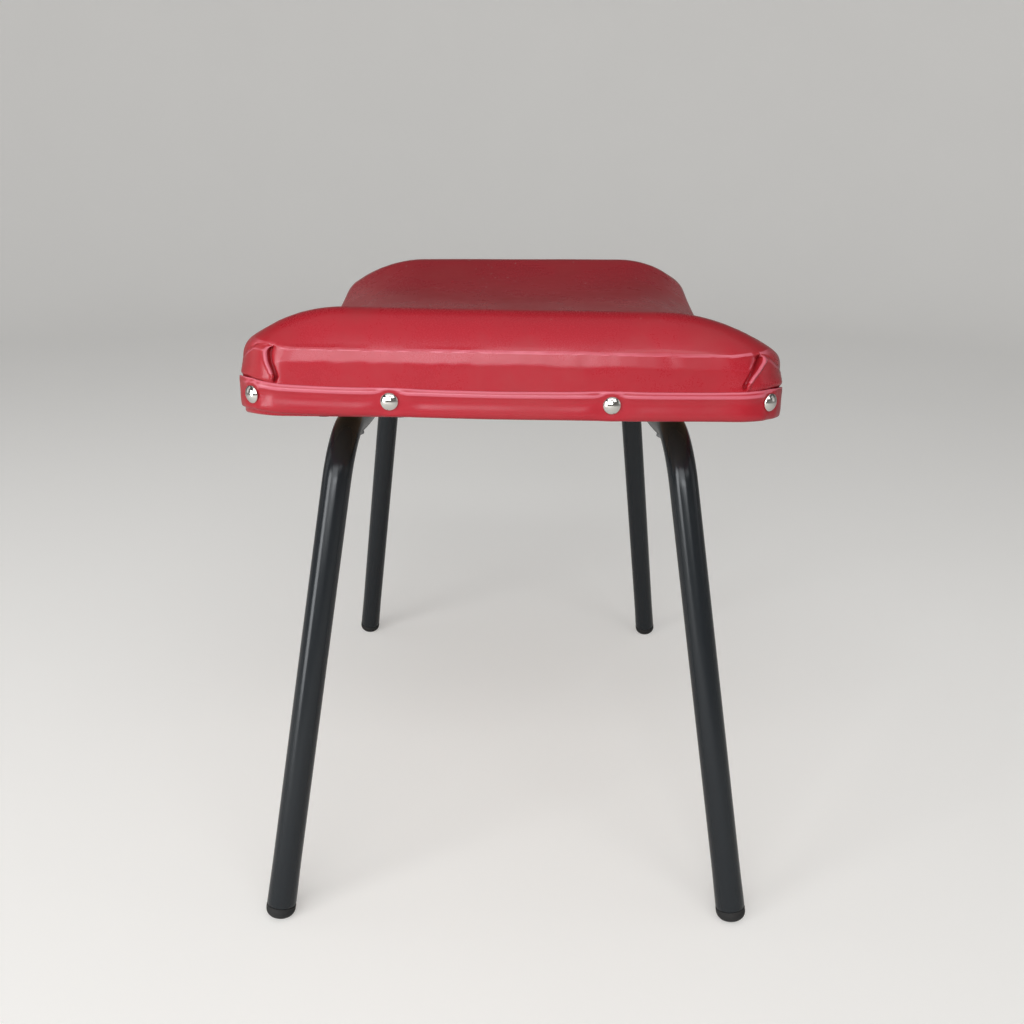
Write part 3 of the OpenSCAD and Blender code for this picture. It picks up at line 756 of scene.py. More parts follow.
def band_rows(seat, band):
    """Closed sections of the band, turned so that each row runs round the seat"""
    stations = Stations.even(seat, 151)
    back = seat.cover_draw - seat.fit_gap
    x, y = stations.outline(back, seat.board_corner - back)
    out_x, out_y = stations.outward()
    nails, nail_heights = nail_line(seat, band)
    order = np.argsort(nails)
    nails, nail_heights = nails[order], nail_heights[order]
    whole = 4 * Stations.whole(seat)
    along = stations.position()
    before = np.searchsorted(nails, along, side="right") - 1
    gap = np.diff(np.append(nails, nails[0] + whole))[before]
    since = (along - nails[before]) % whole
    away = np.minimum(since, gap - since)
    nearest = np.where(since < gap / 2, before, (before + 1) % len(nails))
    slack = np.sin(math.pi * since / gap) ** 1.2 * np.minimum(gap / SLACK_LENGTH, 1.1)
    top = band_top(seat, band, stations) + band.lift * np.exp(-((away / NAIL_PULL) ** 2))
    bottom = band.rise - band.height + band_lay(stations, LOWER)
    bottom = bottom + 0.4 * MM * ripple(x, y, 0, 55 * MM, 1.9)
    rows = []
    standing = 1 - 0.75 * smooth_step(stations.turn, 0.3, 1.0)
    for part, out in BAND_FACE:
        level = top - part * (top - bottom)
        out = MM * (out + (standing - 1) * max(out - 1.6, 0))
        bulge = band.bulge * (slack - 0.4) * math.sin(math.pi * part) ** 2 * (part > 0.3)
        wave = 0.25 * MM * ripple(x, y, 1.2 * level, 26 * MM, 4.4) * math.sin(math.pi * part)
        out = out + bulge + wave * smooth_step(away, 6 * MM, 20 * MM)
        reach = level - nail_heights[nearest]
        round_nail = np.hypot(away, reach)
        bearing = np.arctan2(reach, np.where(since < gap / 2, since, -away))
        creases = np.cos(4 * bearing + 2.4 * nearest)
        creased = np.exp(-(((round_nail - CREASE_REACH) / CREASE_WIDTH) ** 2))
        out = out + 0.4 * MM * creases * creased
        pressed = 1 - smooth_step(round_nail, band.nail_diameter / 2, CREASE_REACH)
        out = out + pressed * (np.minimum(out, 0.95 * band.thickness) - out)
        rows.append((np.maximum(out, 0.3 * MM), level))
    rows += [(out * MM, top - part * (top - bottom)) for part, out in BAND_BACK]
    board = face_height(seat, y, 0)
    return [points(x + out * out_x, y + out * out_y, board + level) for out, level in rows[::-1]]


def dome_profile(radius, dome):
    """Half section of a nail's dome, from its back to its top"""
    cap, rim = radius - 0.22 * MM, 0.85 * MM
    ball = (cap**2 + (dome - rim) ** 2) / (2 * (dome - rim))
    profile = [(0, -0.25 * MM), (radius - 0.4 * MM, -0.25 * MM), (radius - 0.1 * MM, 0)]
    profile += [(radius, 0.3 * MM), (radius - 0.05 * MM, 0.6 * MM)]
    for bearing in np.linspace(1, 0, 14) * math.asin(cap / ball):
        profile.append((ball * math.sin(bearing), dome - ball + ball * math.cos(bearing)))
    return profile


# Tubes

TUBE_SEGMENTS, PLUG_SEGMENTS = 48, 56
BEND_ROWS = 30
BEND_FLATTENING = 0.025
BORE_SHOWN = 20 * MM
SHANK_SHOWN = 15 * MM


def frame_plan(seat, legs):
    """Angles and lengths of a frame in its own plane, which leans by side_splay"""
    radius = saddle(seat)[0]
    axis = seat.end_height - seat.saddle_dip + radius
    splay = legs.side_splay
    tube = legs.diameter / 2
    run_radius = (radius + seat.board_thickness + seat.fit_gap + tube) * math.cos(splay)
    centre = (axis - run_radius / math.cos(splay)) / math.cos(splay) + run_radius
    lean = math.atan(math.tan(legs.end_splay) * math.cos(splay))
    up = np.array([math.sin(lean), math.cos(lean)])
    inward = np.array([math.cos(lean), -math.sin(lean)])
    foot = np.array([-legs.foot_y / 2, 0.0])
    start = foot + legs.bend * inward - np.array([0, centre])
    reach = start @ up
    leg = -reach - math.sqrt(reach**2 - start @ start + (run_radius + legs.bend) ** 2)
    bend_centre = foot + legs.bend * inward + leg * up
    tilt = math.atan(math.hypot(math.tan(splay), math.tan(legs.end_splay)))
    rim = tube + legs.plug_step
    lowest = legs.plug_round + (rim - legs.plug_round) * math.sin(tilt) - legs.plug_wear
    return {
        "run_radius": run_radius,
        "centre": centre,
        "lean": lean,
        "up": up,
        "foot": foot,
        "leg": leg,
        "bend_centre": bend_centre,
        "run_turn": math.asin(-bend_centre[0] / (run_radius + legs.bend)),
        "plug_start": lowest / math.cos(tilt) - legs.plug_round,
    }


def frame_point(legs, side, u, v):
    """A point of a frame's plane in the stool's space"""
    splay = legs.side_splay
    return points(side * (legs.foot_x / 2 - v * math.sin(splay)), u, v * math.cos(splay))


def arc(centre, radius, bearing):
    """Points of a frame's plane at some bearings round a centre"""
    return centre + radius * np.stack([np.cos(bearing), np.sin(bearing)], axis=-1)


def frame_path(seat, legs):
    """Centreline of a frame in its plane, the radius at each point, and how bent it is"""
    plan = frame_plan(seat, legs)
    start = plan["plug_start"] + legs.plug_rim
    steps = start + MM * np.array([0, 0.6, 1.5, 4, 9, 16, 24, 34])
    steps = np.concatenate([steps, np.linspace(start + 50 * MM, plan["leg"], 24)])
    leg = plan["foot"] + steps[:, None] * plan["up"]
    flare = legs.flare * (1 - smooth_step(steps - start, 2 * MM, 34 * MM))
    flare[:2] -= 0.5 * MM, 0.12 * MM
    turn = np.linspace(0, math.pi / 2 - plan["lean"] + plan["run_turn"], BEND_ROWS)[1:]
    bend = arc(plan["bend_centre"], legs.bend, math.pi - plan["lean"] - turn)
    sweep = 1.5 * math.pi - plan["run_turn"] * np.linspace(1, 0, 24)[1:]
    run = arc((0, plan["centre"]), plan["run_radius"], sweep)
    bent = np.sin(np.pi * np.linspace(0, 1, BEND_ROWS)[1:])
    near = np.concatenate([leg, bend, run])
    radius = legs.diameter / 2 + np.concatenate([flare, np.zeros(len(bend) + len(run))])
    bent = np.concatenate([np.zeros(len(leg)), bent, np.zeros(len(run))])
    return (
        np.concatenate([near, near[-2::-1] * [-1, 1]]),
        np.concatenate([radius, radius[-2::-1]]),
        np.concatenate([bent, bent[-2::-1]]),
    )


def tube(seat, legs, side):
    """The outside of a frame's tube, with a short way into each open end"""
    path, radius, bent = frame_path(seat, legs)
    middle = frame_point(legs, side, path[:, 0], path[:, 1])
    forward = np.gradient(middle, axis=0)
    forward /= np.linalg.norm(forward, axis=1, keepdims=True)
    splay = legs.side_splay
    sideways = np.array([math.cos(splay) * side, 0, math.sin(splay)])
    inward = np.cross(forward, sideways)
    turn = np.linspace(0, 2 * math.pi, TUBE_SEGMENTS, endpoint=False)[None, :, None]
    flat = (1 - BEND_FLATTENING * bent)[:, None, None]
    rows = middle[:, None, :] + radius[:, None, None] * (
        flat * np.cos(turn) * inward[:, None, :] + np.sin(turn) * sideways
    )
    bore = (legs.diameter / 2 - legs.wall) / radius[0]
    inner = [middle[at] + bore * (rows[at] - middle[at]) for at in (0, -1)]
    deeper = [BORE_SHOWN * forward[0], -BORE_SHOWN * forward[-1]]
    rows = [inner[0] + deeper[0], inner[0], *rows, inner[1], inner[1] + deeper[1]]
    shape = capped(lattice(rows), TUBE_SEGMENTS, middle[-1] + deeper[1])
    return capped(shape, TUBE_SEGMENTS, middle[0] + deeper[0], last=False)


def plug(seat, legs, side, end):
    """A plug's rim with its rounded edge, worn flat on the floor"""
    plan = frame_plan(seat, legs)
    rim, top = legs.diameter / 2 + legs.plug_step, legs.plug_rim
    shank = legs.diameter / 2 - legs.wall - 0.2 * MM
    flat = rim - legs.plug_round
    profile = [(0, 0), (0.5 * flat, 0)]
    for bearing in np.linspace(-math.pi / 2, 0, 12):
        height = legs.plug_round * (1 + math.sin(bearing))
        profile.append((flat + legs.plug_round * math.cos(bearing), height))
    for inset, below in ((0, 1.6), (0.12, 1.4), (0, 1.2), (0, 0.4), (0.15, 0.12), (0.5, 0)):
        profile.append((rim - inset * MM, top - below * MM))
    profile += [(shank, top), (shank, top + SHANK_SHOWN), (0, top + SHANK_SHOWN)]
    vertices, faces = lathe(profile, PLUG_SEGMENTS)
    foot, up = plan["foot"] * [-end, 1], plan["up"] * [-end, 1]
    ends = [frame_point(legs, side, *(foot + part * up)) for part in (0, 1)]
    turn = Vector(ends[1] - ends[0]).normalized().to_track_quat("Z", "Y").to_matrix().to_4x4()
    turn.translation = Vector(frame_point(legs, side, *(foot + plan["plug_start"] * up)))
    vertices = placed(vertices, turn)
    vertices[:, 2] = np.maximum(vertices[:, 2], 0)
    return vertices, faces


# Materials

MIX_FACTOR, MIX_FIRST, MIX_SECOND, MIX_RESULT = 0, 6, 7, 2
MIRRORED_GLOW = 0.2


class Nodes:
    """Adds nodes to a tree, with inputs that are values or sockets to link"""

    def __init__(self, tree):
        self.tree = tree

    def feed(self, node, inputs):
        for name, value in inputs.items():
            if isinstance(value, bpy.types.NodeSocket):
                self.tree.links.new(value, node.inputs[name])
            else:
                node.inputs[name].default_value = value

    def add(self, kind, inputs=None, **settings):
        """The outputs of a new node"""
        node = self.tree.nodes.new("ShaderNode" + kind)
        for name, value in settings.items():
            setattr(node, name, value)
        self.feed(node, inputs or {})
        return node.outputs

    def maths(self, operation, first, second=0.0, clamp=False):
        return self.add("Math", {0: first, 1: second}, operation=operation, use_clamp=clamp)[0]

    def times(self, first, second):
        return self.maths("MULTIPLY", first, second)

    def plus(self, first, second, share, clamp=False):
        """A value and a share of another"""
        return self.maths("ADD", first, self.times(second, share), clamp)

    def off_middle(self, value):
        """How far a noise is from its middle value"""
        return self.maths("ABSOLUTE", self.maths("SUBTRACT", value, 0.5))

    def remap(self, value, low, high, to_low=0.0, to_high=1.0, way="SMOOTHSTEP"):
        """A value moved from one span to another, by default with soft ends"""
        spans = {"From Min": low, "From Max": high, "To Min": to_low, "To Max": to_high}
        return self.add("MapRange", {"Value": value, **spans}, interpolation_type=way)["Result"]

    def spread(self, value, low, high):
        """A value from 0 to 1 spread evenly over a span"""
        return self.remap(value, 0, 1, low, high, "LINEAR")

    def mix(self, first, second, mask, share=None):
        """The first colour, with the second one over it by a mask or a share of the mask"""
        factor = mask if share is None else self.times(mask, share)
        first, second = (
            part if isinstance(part, bpy.types.NodeSocket) else (*part, 1.0)
            for part in (first, second)
        )
        colours = {MIX_FACTOR: factor, MIX_FIRST: first, MIX_SECOND: second}
        return self.add("Mix", colours, data_type="RGBA")[MIX_RESULT]

    def noise(self, vector, scale, detail=3.0, rough=0.5, distortion=0.0):
        given = {"Vector": vector, "Scale": scale, "Detail": detail, "Roughness": rough}
        return self.add("TexNoise", {**given, "Distortion": distortion})["Fac"]

    def stretched(self, vector, scale):
        return self.add("Mapping", {"Vector": vector, "Scale": scale})["Vector"]

    def height_of(self, vector):
        return self.add("SeparateXYZ", {0: vector})["Z"]

    def glow(self, stage, fade=None):
        """Brightness added where a thing is seen, less so in mirrors and there by a fade"""
        ray = self.add("LightPath")
        mirrored = self.maths("MAXIMUM", ray["Is Glossy Ray"], ray["Is Transmission Ray"])
        if fade is not None:
            mirrored = self.times(mirrored, fade)
        mirrored = self.times(mirrored, MIRRORED_GLOW)
        return self.times(self.maths("MAXIMUM", ray["Is Camera Ray"], mirrored), stage.glow)


def vinyl_grain(nodes, given):
    """Fine pebbles with worn-down tops, and long shallow creases"""
    vector, scale = given["Vector"], given["Scale"]
    cell = {"Vector": vector, "Scale": scale, "Randomness": 0.9}
    cells = nodes.add("TexVoronoi", cell, feature="SMOOTH_F1")
    fine = nodes.noise(vector, nodes.times(scale, 2.3), 2)
    folds = nodes.noise(vector, given["Crease Scale"], 4, 0.6, 0.8)
    return {
        "Grain": nodes.plus(nodes.times(cells["Distance"], -0.7), fine, 0.35),
        "Creases": nodes.remap(nodes.off_middle(folds), 0.0, 0.035),
    }


def slow_drift(nodes, given):
    """Two slow noises for colour and gloss that drift over a surface"""
    vector, scale = given["Vector"], given["Scale"]
    broad = nodes.noise(vector, scale, 3, 0.55)
    moved = nodes.add("VectorMath", {0: vector, 1: (3.1, 7.7, 1.3)}, operation="ADD")[0]
    patch = nodes.noise(moved, nodes.times(scale, 2.6), 5, 0.65)
    return {"Broad": nodes.remap(broad, 0.3, 0.7), "Patches": nodes.remap(patch, 0.42, 0.72)}


def scattered_specks(nodes, given):
    """A mask of small dots, of which only a share is there"""
    cell = {"Vector": given["Vector"], "Scale": given["Scale"], "Randomness": 1.0}
    cells = nodes.add("TexVoronoi", cell)
    dot = nodes.remap(cells["Distance"], given["Size"], 0.0)
    pick = nodes.add("SeparateColor", {0: cells["Color"]})[0]
    return {"Mask": nodes.times(dot, nodes.maths("LESS_THAN", pick, given["Share"]))}


def fine_scratches(nodes, given):
    """A mask of thin scratches that run along one way of the coordinates given"""
    thin = nodes.noise(given["Vector"], given["Scale"], 2, 0.5, 0.4)
    mask = nodes.remap(nodes.off_middle(thin), given["Width"], 0.0)
    where = nodes.noise(given["Vector"], nodes.times(given["Scale"], 0.21), 2)
    return {"Mask": nodes.times(mask, nodes.remap(where, 0.55, 0.68))}


# What fills each node group, and its inputs beside the vector
GROUPS = {
    "Vinyl grain": (vinyl_grain, {"Scale": 1400.0, "Crease Scale": 20.0}),
    "Slow drift": (slow_drift, {"Scale": 6.0}),
    "Scattered specks": (scattered_specks, {"Scale": 400.0, "Size": 0.2, "Share": 0.2}),
    "Fine scratches": (fine_scratches, {"Scale": 60.0, "Width": 0.01}),
}


def node_group(name):
    """A node group by its name, built once"""
    known = bpy.data.node_groups.get(name)
    if known:
        return known
    fill, inputs = GROUPS[name]
    tree = bpy.data.node_groups.new(name, "ShaderNodeTree")
    sockets = tree.interface
    sockets.new_socket("Vector", in_out="INPUT", socket_type="NodeSocketVector")
    for label, default in inputs.items():
        socket = sockets.new_socket(label, in_out="INPUT", socket_type="NodeSocketFloat")
        socket.default_value = default
    made = fill(Nodes(tree), tree.nodes.new("NodeGroupInput").outputs)
    for label in made:
        sockets.new_socket(label, in_out="OUTPUT", socket_type="NodeSocketFloat")
    Nodes(tree).feed(tree.nodes.new("NodeGroupOutput"), made)
    return tree


class Finish(Nodes):
    """The nodes of a new material, round its Principled shader"""

    def __init__(self, name):
        self.material = bpy.data.materials.new(name)
        self.material.use_nodes = True
        super().__init__(self.material.node_tree)
        self.place = self.add("TexCoord")["Object"]

    def group(self, name, scale, others=None, vector=None):
        """The outputs of a node group at a scale"""
        vector = self.place if vector is None else vector
        given = {"Vector": vector, "Scale": scale, **(others or {})}
        return self.add("Group", given, node_tree=node_group(name))

    def bump(self, height, strength, distance):
        given = {"Height": height, "Strength": strength, "Distance": distance}
        return self.add("Bump", given)["Normal"]

    def shade(self, inputs):
        self.feed(self.tree.nodes["Principled BSDF"], inputs)


def red_vinyl(nodes, finish, gloss):
    """Red vinyl with a fine grain, dulled patches, a little dust on top and a painted highlight on
    its sharp edges
    """
    grain = nodes.group("Vinyl grain", 1500.0, {"Crease Scale": 17.0})
    drift = nodes.group("Slow drift", 7.0)
    dust = nodes.group("Scattered specks", 260.0, {"Size": 0.24, "Share": 0.06})["Mask"]
    red = nodes.mix(finish.vinyl, finish.vinyl_deep, drift["Broad"], 0.6)
    red = nodes.mix(red, finish.vinyl_worn, drift["Patches"], 0.35)
    lying = nodes.remap(nodes.height_of(nodes.add("NewGeometry")["Normal"]), 0.75, 0.95)
    settled = nodes.remap(nodes.noise(nodes.place, 9.0, 2), 0.32, 0.5)
    dusty = nodes.times(nodes.times(dust, nodes.times(lying, 0.75)), settled)
    red = nodes.mix(red, finish.dust, dusty)
    # Painted highlight: where the skin bends sharply outwards, the red is mixed towards a pale pink
    sharp = nodes.add("Attribute", attribute_name="sharpness")["Fac"]
    red = nodes.mix(red, finish.vinyl_edge_highlight, nodes.remap(sharp, 0.06, 0.24), 0.8)
    rough = nodes.spread(drift["Patches"], gloss, gloss + 0.12)
    rough = nodes.plus(rough, grain["Grain"], 0.08)
    height = nodes.plus(nodes.times(grain["Grain"], 0.5), grain["Creases"], 0.05)
    nodes.shade(
        {
            "Base Color": red,
            "Roughness": nodes.plus(rough, dusty, 0.4, clamp=True),
            "Normal": nodes.bump(height, 0.22, 0.0004),
            "IOR": 1.44,
            "Specular Tint": (1, 0.86, 1, 1),
            "Coat Weight": 0.2,
            "Coat Roughness": 0.13,
        }
    )


def black_paint(nodes, finish):
    """Brushed-on black gloss paint with orange peel, dust specks and rubbed spots"""
    place = nodes.place
    drift = nodes.group("Slow drift", 16.0)
    specks = nodes.group("Scattered specks", 260.0, {"Size": 0.26, "Share": 0.16})["Mask"]
    long_way = nodes.stretched(place, (1.0, 1.0, 0.16))
    scratches = nodes.group("Fine scratches", 180.0, {"Width": 0.012}, long_way)["Mask"]
    low = nodes.height_of(place)
    wear = nodes.times(drift["Patches"], nodes.remap(low, 0.09, 0.005))
    worn = nodes.maths("ADD", nodes.times(wear, 0.35), scratches, clamp=True)
    dark = nodes.mix(finish.paint, finish.paint_worn, worn, 0.55)
    rough = nodes.plus(nodes.spread(drift["Broad"], 0.24, 0.36), worn, 0.25)
    height = nodes.plus(nodes.noise(place, 150.0, 3, 0.55), nodes.noise(long_way, 70.0, 2), 0.8)
    nodes.shade(
        {
            "Base Color": nodes.mix(dark, finish.dust, specks, 0.55),
            "Roughness": nodes.plus(rough, nodes.remap(low, 0.335, 0.365), 0.6, clamp=True),
            "Normal": nodes.bump(nodes.plus(height, specks, 0.9), 0.4, 0.0009),
            "IOR": 1.5,
            "Specular Tint": (0.72, 0.82, 0.95, 1),
        }
    )


def black_plastic(nodes, finish):
    """Moulded plastic with a dull grain, scuffed grey where it meets the floor"""
    drift = nodes.group("Slow drift", 60.0)
    low = nodes.remap(nodes.height_of(nodes.place), 0.0035, 0.0)
    scuffed = nodes.times(low, drift["Patches"])
    nodes.shade(
        {
            "Base Color": nodes.mix(finish.plastic, finish.paint_worn, scuffed, 0.7),
            "Roughness": nodes.spread(drift["Broad"], 0.42, 0.6),
            "Normal": nodes.bump(nodes.noise(nodes.place, 2200.0, 2), 0.25, 0.0002),
        }
    )


def plated(nodes, finish, metal, shine, spot_share):
    """Plated metal with dulled spots and fine scratches"""
    drift = nodes.group("Slow drift", 90.0)
    scratches = nodes.group("Fine scratches", 700.0, {"Width": 0.02})["Mask"]
    specks = nodes.group("Scattered specks", 900.0, {"Size": 0.3, "Share": spot_share})["Mask"]
    dull = nodes.plus(nodes.times(drift["Patches"], 0.25), specks, 0.6, clamp=True)
    rough = nodes.plus(nodes.spread(drift["Broad"], shine, shine + 0.1), scratches, 0.2)
    height = nodes.maths("SUBTRACT", nodes.noise(nodes.place, 500.0, 2), scratches)
    nodes.shade(
        {
            "Base Color": nodes.mix(getattr(finish, metal), finish.tarnish, dull),
            "Roughness": nodes.plus(rough, dull, 0.3, clamp=True),
            "Normal": nodes.bump(height, 0.12, 0.0002),
            "Metallic": 1.0,
        }
    )


def plywood(nodes, finish):
    """Rotary-cut veneer: wide wavy figure with dark grain lines, and fine pores along the grain"""
    along = nodes.stretched(nodes.place, (1.0, 0.12, 1.0))
    figure = nodes.noise(along, 26.0, 4, 0.6, 1.2)
    band = {"Vector": along, "Scale": 14.0, "Distortion": 9.0, "Detail": 3.0, "Detail Scale": 1.6}
    lines = nodes.times(nodes.add("TexWave", band, bands_direction="X")["Fac"], figure)
    fibres = nodes.stretched(nodes.place, (1.0, 0.05, 1.0))
    pores = nodes.remap(nodes.noise(fibres, 900.0, 2), 0.6, 0.75)
    drift = nodes.group("Slow drift", 9.0)
    lines = nodes.remap(lines, 0.15, 0.6, 0, 0.75)
    wood = nodes.mix(finish.plywood, finish.plywood_dark, lines)
    wood = nodes.mix(wood, finish.plywood_dark, pores, 0.4)
    height = nodes.maths("SUBTRACT", nodes.times(figure, 0.5), pores)
    nodes.shade(
        {
            "Base Color": nodes.mix(wood, finish.tarnish, drift["Patches"], 0.2),
            "Roughness": nodes.spread(drift["Broad"], 0.5, 0.64),
            "Normal": nodes.bump(height, 0.3, 0.0003),
        }
    )


def foam(nodes, finish):
    """Cream foam with open pores, darkened in the pores as painted shade"""
    cells = nodes.add("TexVoronoi", {"Vector": nodes.place, "Scale": 800.0})
    pores = nodes.remap(cells["Distance"], 0.1, 0.5)
    # Painted shade: the cream is darkened towards the middle of each pore, where the bump sinks
    cream_and_pore_shade = nodes.mix([0.7 * part for part in finish.foam], finish.foam, pores)
    aged = nodes.group("Slow drift", 12.0)["Patches"]
    nodes.shade(
        {
            "Base Color": nodes.mix(cream_and_pore_shade, finish.plywood, aged, 0.25),
            "Roughness": nodes.remap(pores, 0, 1, 0.95, 0.85),
            "Normal": nodes.bump(pores, 0.6, 0.0006),
        }
    )


def studio_floor(nodes, _):
    """Pale seamless paper with a faint mottle"""
    stage = bpy.context.scene.footstool.stage
    mottle = nodes.noise(nodes.place, 3.0, 4)
    shade = [0.96 * part for part in stage.floor]
    pale = nodes.mix(stage.floor, shade, nodes.remap(mottle, 0.3, 0.7, 0, 0.25))
    low = nodes.remap(nodes.height_of(nodes.place), 0.3, 0.02)
    nodes.shade(
        {
            "Base Color": pale,
            "Emission Color": pale,
            "Emission Strength": nodes.glow(stage, low),
            "Roughness": nodes.remap(mottle, 0.3, 0.7, 0.85, 0.95),
            "Specular IOR Level": 0.2,
        }
    )


# What builds each material, and the values that it takes
MATERIALS = {
    "red_vinyl_cover": (red_vinyl, 0.28),
    "red_vinyl_band": (red_vinyl, 0.32),
    "black_paint": (black_paint,),
    "black_plastic": (black_plastic,),
    "nickel": (plated, "nickel", 0.15, 0.06),
    "zinc": (plated, "zinc", 0.32, 0.2),
    "blued_steel": (plated, "blued", 0.3, 0.12),
    "plywood": (plywood,),
    "foam": (foam,),
    "floor_paper": (studio_floor,),
}


def material(name):
    """A material by its name, built once"""
    known = bpy.data.materials.get(name)
    if known:
        return known
    build, *values = MATERIALS[name]
    nodes = Finish(name)
    build(nodes, bpy.context.scene.footstool.finish, *values)
    return nodes.material


# Operators


class FOOTSTOOL_OT_cover(bpy.types.Operator):
    """Makes the pleated vinyl cover, turned under the board as a hem"""

    bl_idname = "footstool.cover"
    bl_label = "Vinyl Cover"

    def execute(self, context):
        settings = context.scene.footstool
        seat = settings.seat
        hem = hem_rows(seat, pleated_stations(seat, PLEAT_FOOT))
        rows, middle = cushion_rows(
            seat, settings.band, lambda below_edge: pleated_stations(seat, below_edge)
        )
        # Sharpness marks where the highlight is painted; the hem, the wall's foot and the slits'
        # inner sides get none
        sharp = sharpness(hem + rows)
        sharp[: len(hem) + len(FOOT_STEPS) + 3] = 0
        sharp[:, inside_slits(seat)] = 0
        for row in rows[-len(TOP_STEPS) - len(CENTRE_STEPS) :]:
            row[:, 2] += 0.5 * MM * ripple(row[:, 0], row[:, 1], 0, 70 * MM, 2.2)
        shape = capped(lattice(hem + rows), len(rows[0]), middle)
        cover = make_piece(
            "vinyl_cover_skin", shape, "red_vinyl_cover", "vinyl_cover", sharp
        )
        shell = cover.modifiers.new("thickness", "SOLIDIFY")
        shell.thickness = seat.cover_thickness
        shell.offset = -1
        return {"FINISHED"}


class FOOTSTOOL_OT_foam(bpy.types.Operator):
    """Makes the foam pad under the cover"""

    bl_idname = "footstool.foam"
    bl_label = "Foam Pad"

    def execute(self, context):
        settings = context.scene.footstool
        seat = settings.seat
        stations = Stations.even(seat, 61)
        depth = seat.cover_thickness + 2 * seat.fit_gap
        rows, middle = cushion_rows(seat, settings.band, lambda _: stations, depth)
        for number, row in enumerate(rows):
            clear = seat.fit_gap + 0.1 * MM * number
            row[:, 2] = np.maximum(row[:, 2], face_height(seat, row[:, 1], 0) + clear)
        x, y = rows[0][:, 0], rows[0][:, 1]
        parts = (0.05, 0.3, 0.6, 0.9)
        under = [on_board(seat, part * x, part * y, seat.fit_gap) for part in parts]
        shape = capped(lattice(under + rows), len(x), middle)
        bottom = on_board(seat, 0, 0, seat.fit_gap)
        shape = capped(shape, len(x), bottom, last=False)
        pad = make_piece("foam_pad_block", shape, "foam", "foam_pad")
        return {"FINISHED"}


class FOOTSTOOL_OT_band(bpy.types.Operator):
    """Makes the vinyl band with its rolled upper edge, puckered at the nails"""

    bl_idname = "footstool.band"
    bl_label = "Edge Band"

    def execute(self, context):
        settings = context.scene.footstool
        rows = band_rows(settings.seat, settings.band)
        shape = lattice(rows, wrap_rows=True)
        # Sharpness marks where the highlight is painted, kept only on the band's rolled upper edge
        sharp = sharpness(rows, closed=True)
        sharp[:-ROLL_ROWS] = 0
        make_piece("edge_band_strip", shape, "red_vinyl_band", "edge_band", sharp)
        return {"FINISHED"}


class FOOTSTOOL_OT_nails(bpy.types.Operator):
    """Makes the dome nails that hold the band"""

    bl_idname = "footstool.nails"
    bl_label = "Dome Nails"

    def execute(self, context):
        settings = context.scene.footstool
        seat, band = settings.seat, settings.band
        vertices, faces = lathe(dome_profile(band.nail_diameter / 2, band.nail_dome), NAIL_SEGMENTS)
        out = band.thickness - seat.cover_draw + seat.fit_gap
        heights = nail_line(seat, band)[1]
        parts = []
        for number, (x, y, bearing) in enumerate(nail_places(seat, band)):
            height = float(face_height(seat, y, 0)) + heights[number]
            x, y = x + out * math.cos(bearing), y + out * math.sin(bearing)
            lean = NAIL_LEAN * math.sin(5.3 * number)
            turn = (
                Matrix.Translation((x, y, height))
                @ Matrix.Rotation(bearing, 4, "Z")
                @ Matrix.Rotation(math.pi / 2 + lean, 4, "Y")
            )
            parts.append((placed(vertices, turn), faces))
        make_piece("band_nail_domes", joined(parts), "nickel", "band_nails")
        return {"FINISHED"}


class FOOTSTOOL_OT_tubes(bpy.types.Operator):
    """Makes the two bent tubes, each two legs and the run under the board"""

    bl_idname = "footstool.tubes"
    bl_label = "Tube Frames"

    def execute(self, context):
        settings = context.scene.footstool
        for side, name in ((-1, "left"), (1, "right")):
            shape = tube(settings.seat, settings.legs, side)
            make_piece(f"tube_{name}", shape, "black_paint", f"tube_frame_{name}")
        return {"FINISHED"}


class FOOTSTOOL_OT_plugs(bpy.types.Operator):
    """Makes the rounded plugs on which the stool stands"""

    bl_idname = "footstool.plugs"
    bl_label = "Foot Plugs"

    def execute(self, context):
        settings = context.scene.footstool
        for end, end_name in ((-1, "near"), (1, "far")):
            for side, side_name in ((-1, "left"), (1, "right")):
                shape = plug(settings.seat, settings.legs, side, end)
                name = f"plug_{end_name}_{side_name}"
                make_piece(name, shape, "black_plastic", f"foot_{name}")
        return {"FINISHED"}


class FOOTSTOOL_OT_hidden_parts(bpy.types.Operator):
    """Gives the board, tacks and screws their wood and metal"""

    bl_idname = "footstool.hidden_parts"
    bl_label = "Board, Tacks and Screws"

    def execute(self, context):
        for name, finish in (
            ("seat_board", "plywood"),
            ("hem_tacks", "blued_steel"),
            ("frame_screws", "zinc"),
        ):
            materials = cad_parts[name].data.materials
            materials.clear()
            materials.append(material(finish))
        return {"FINISHED"}


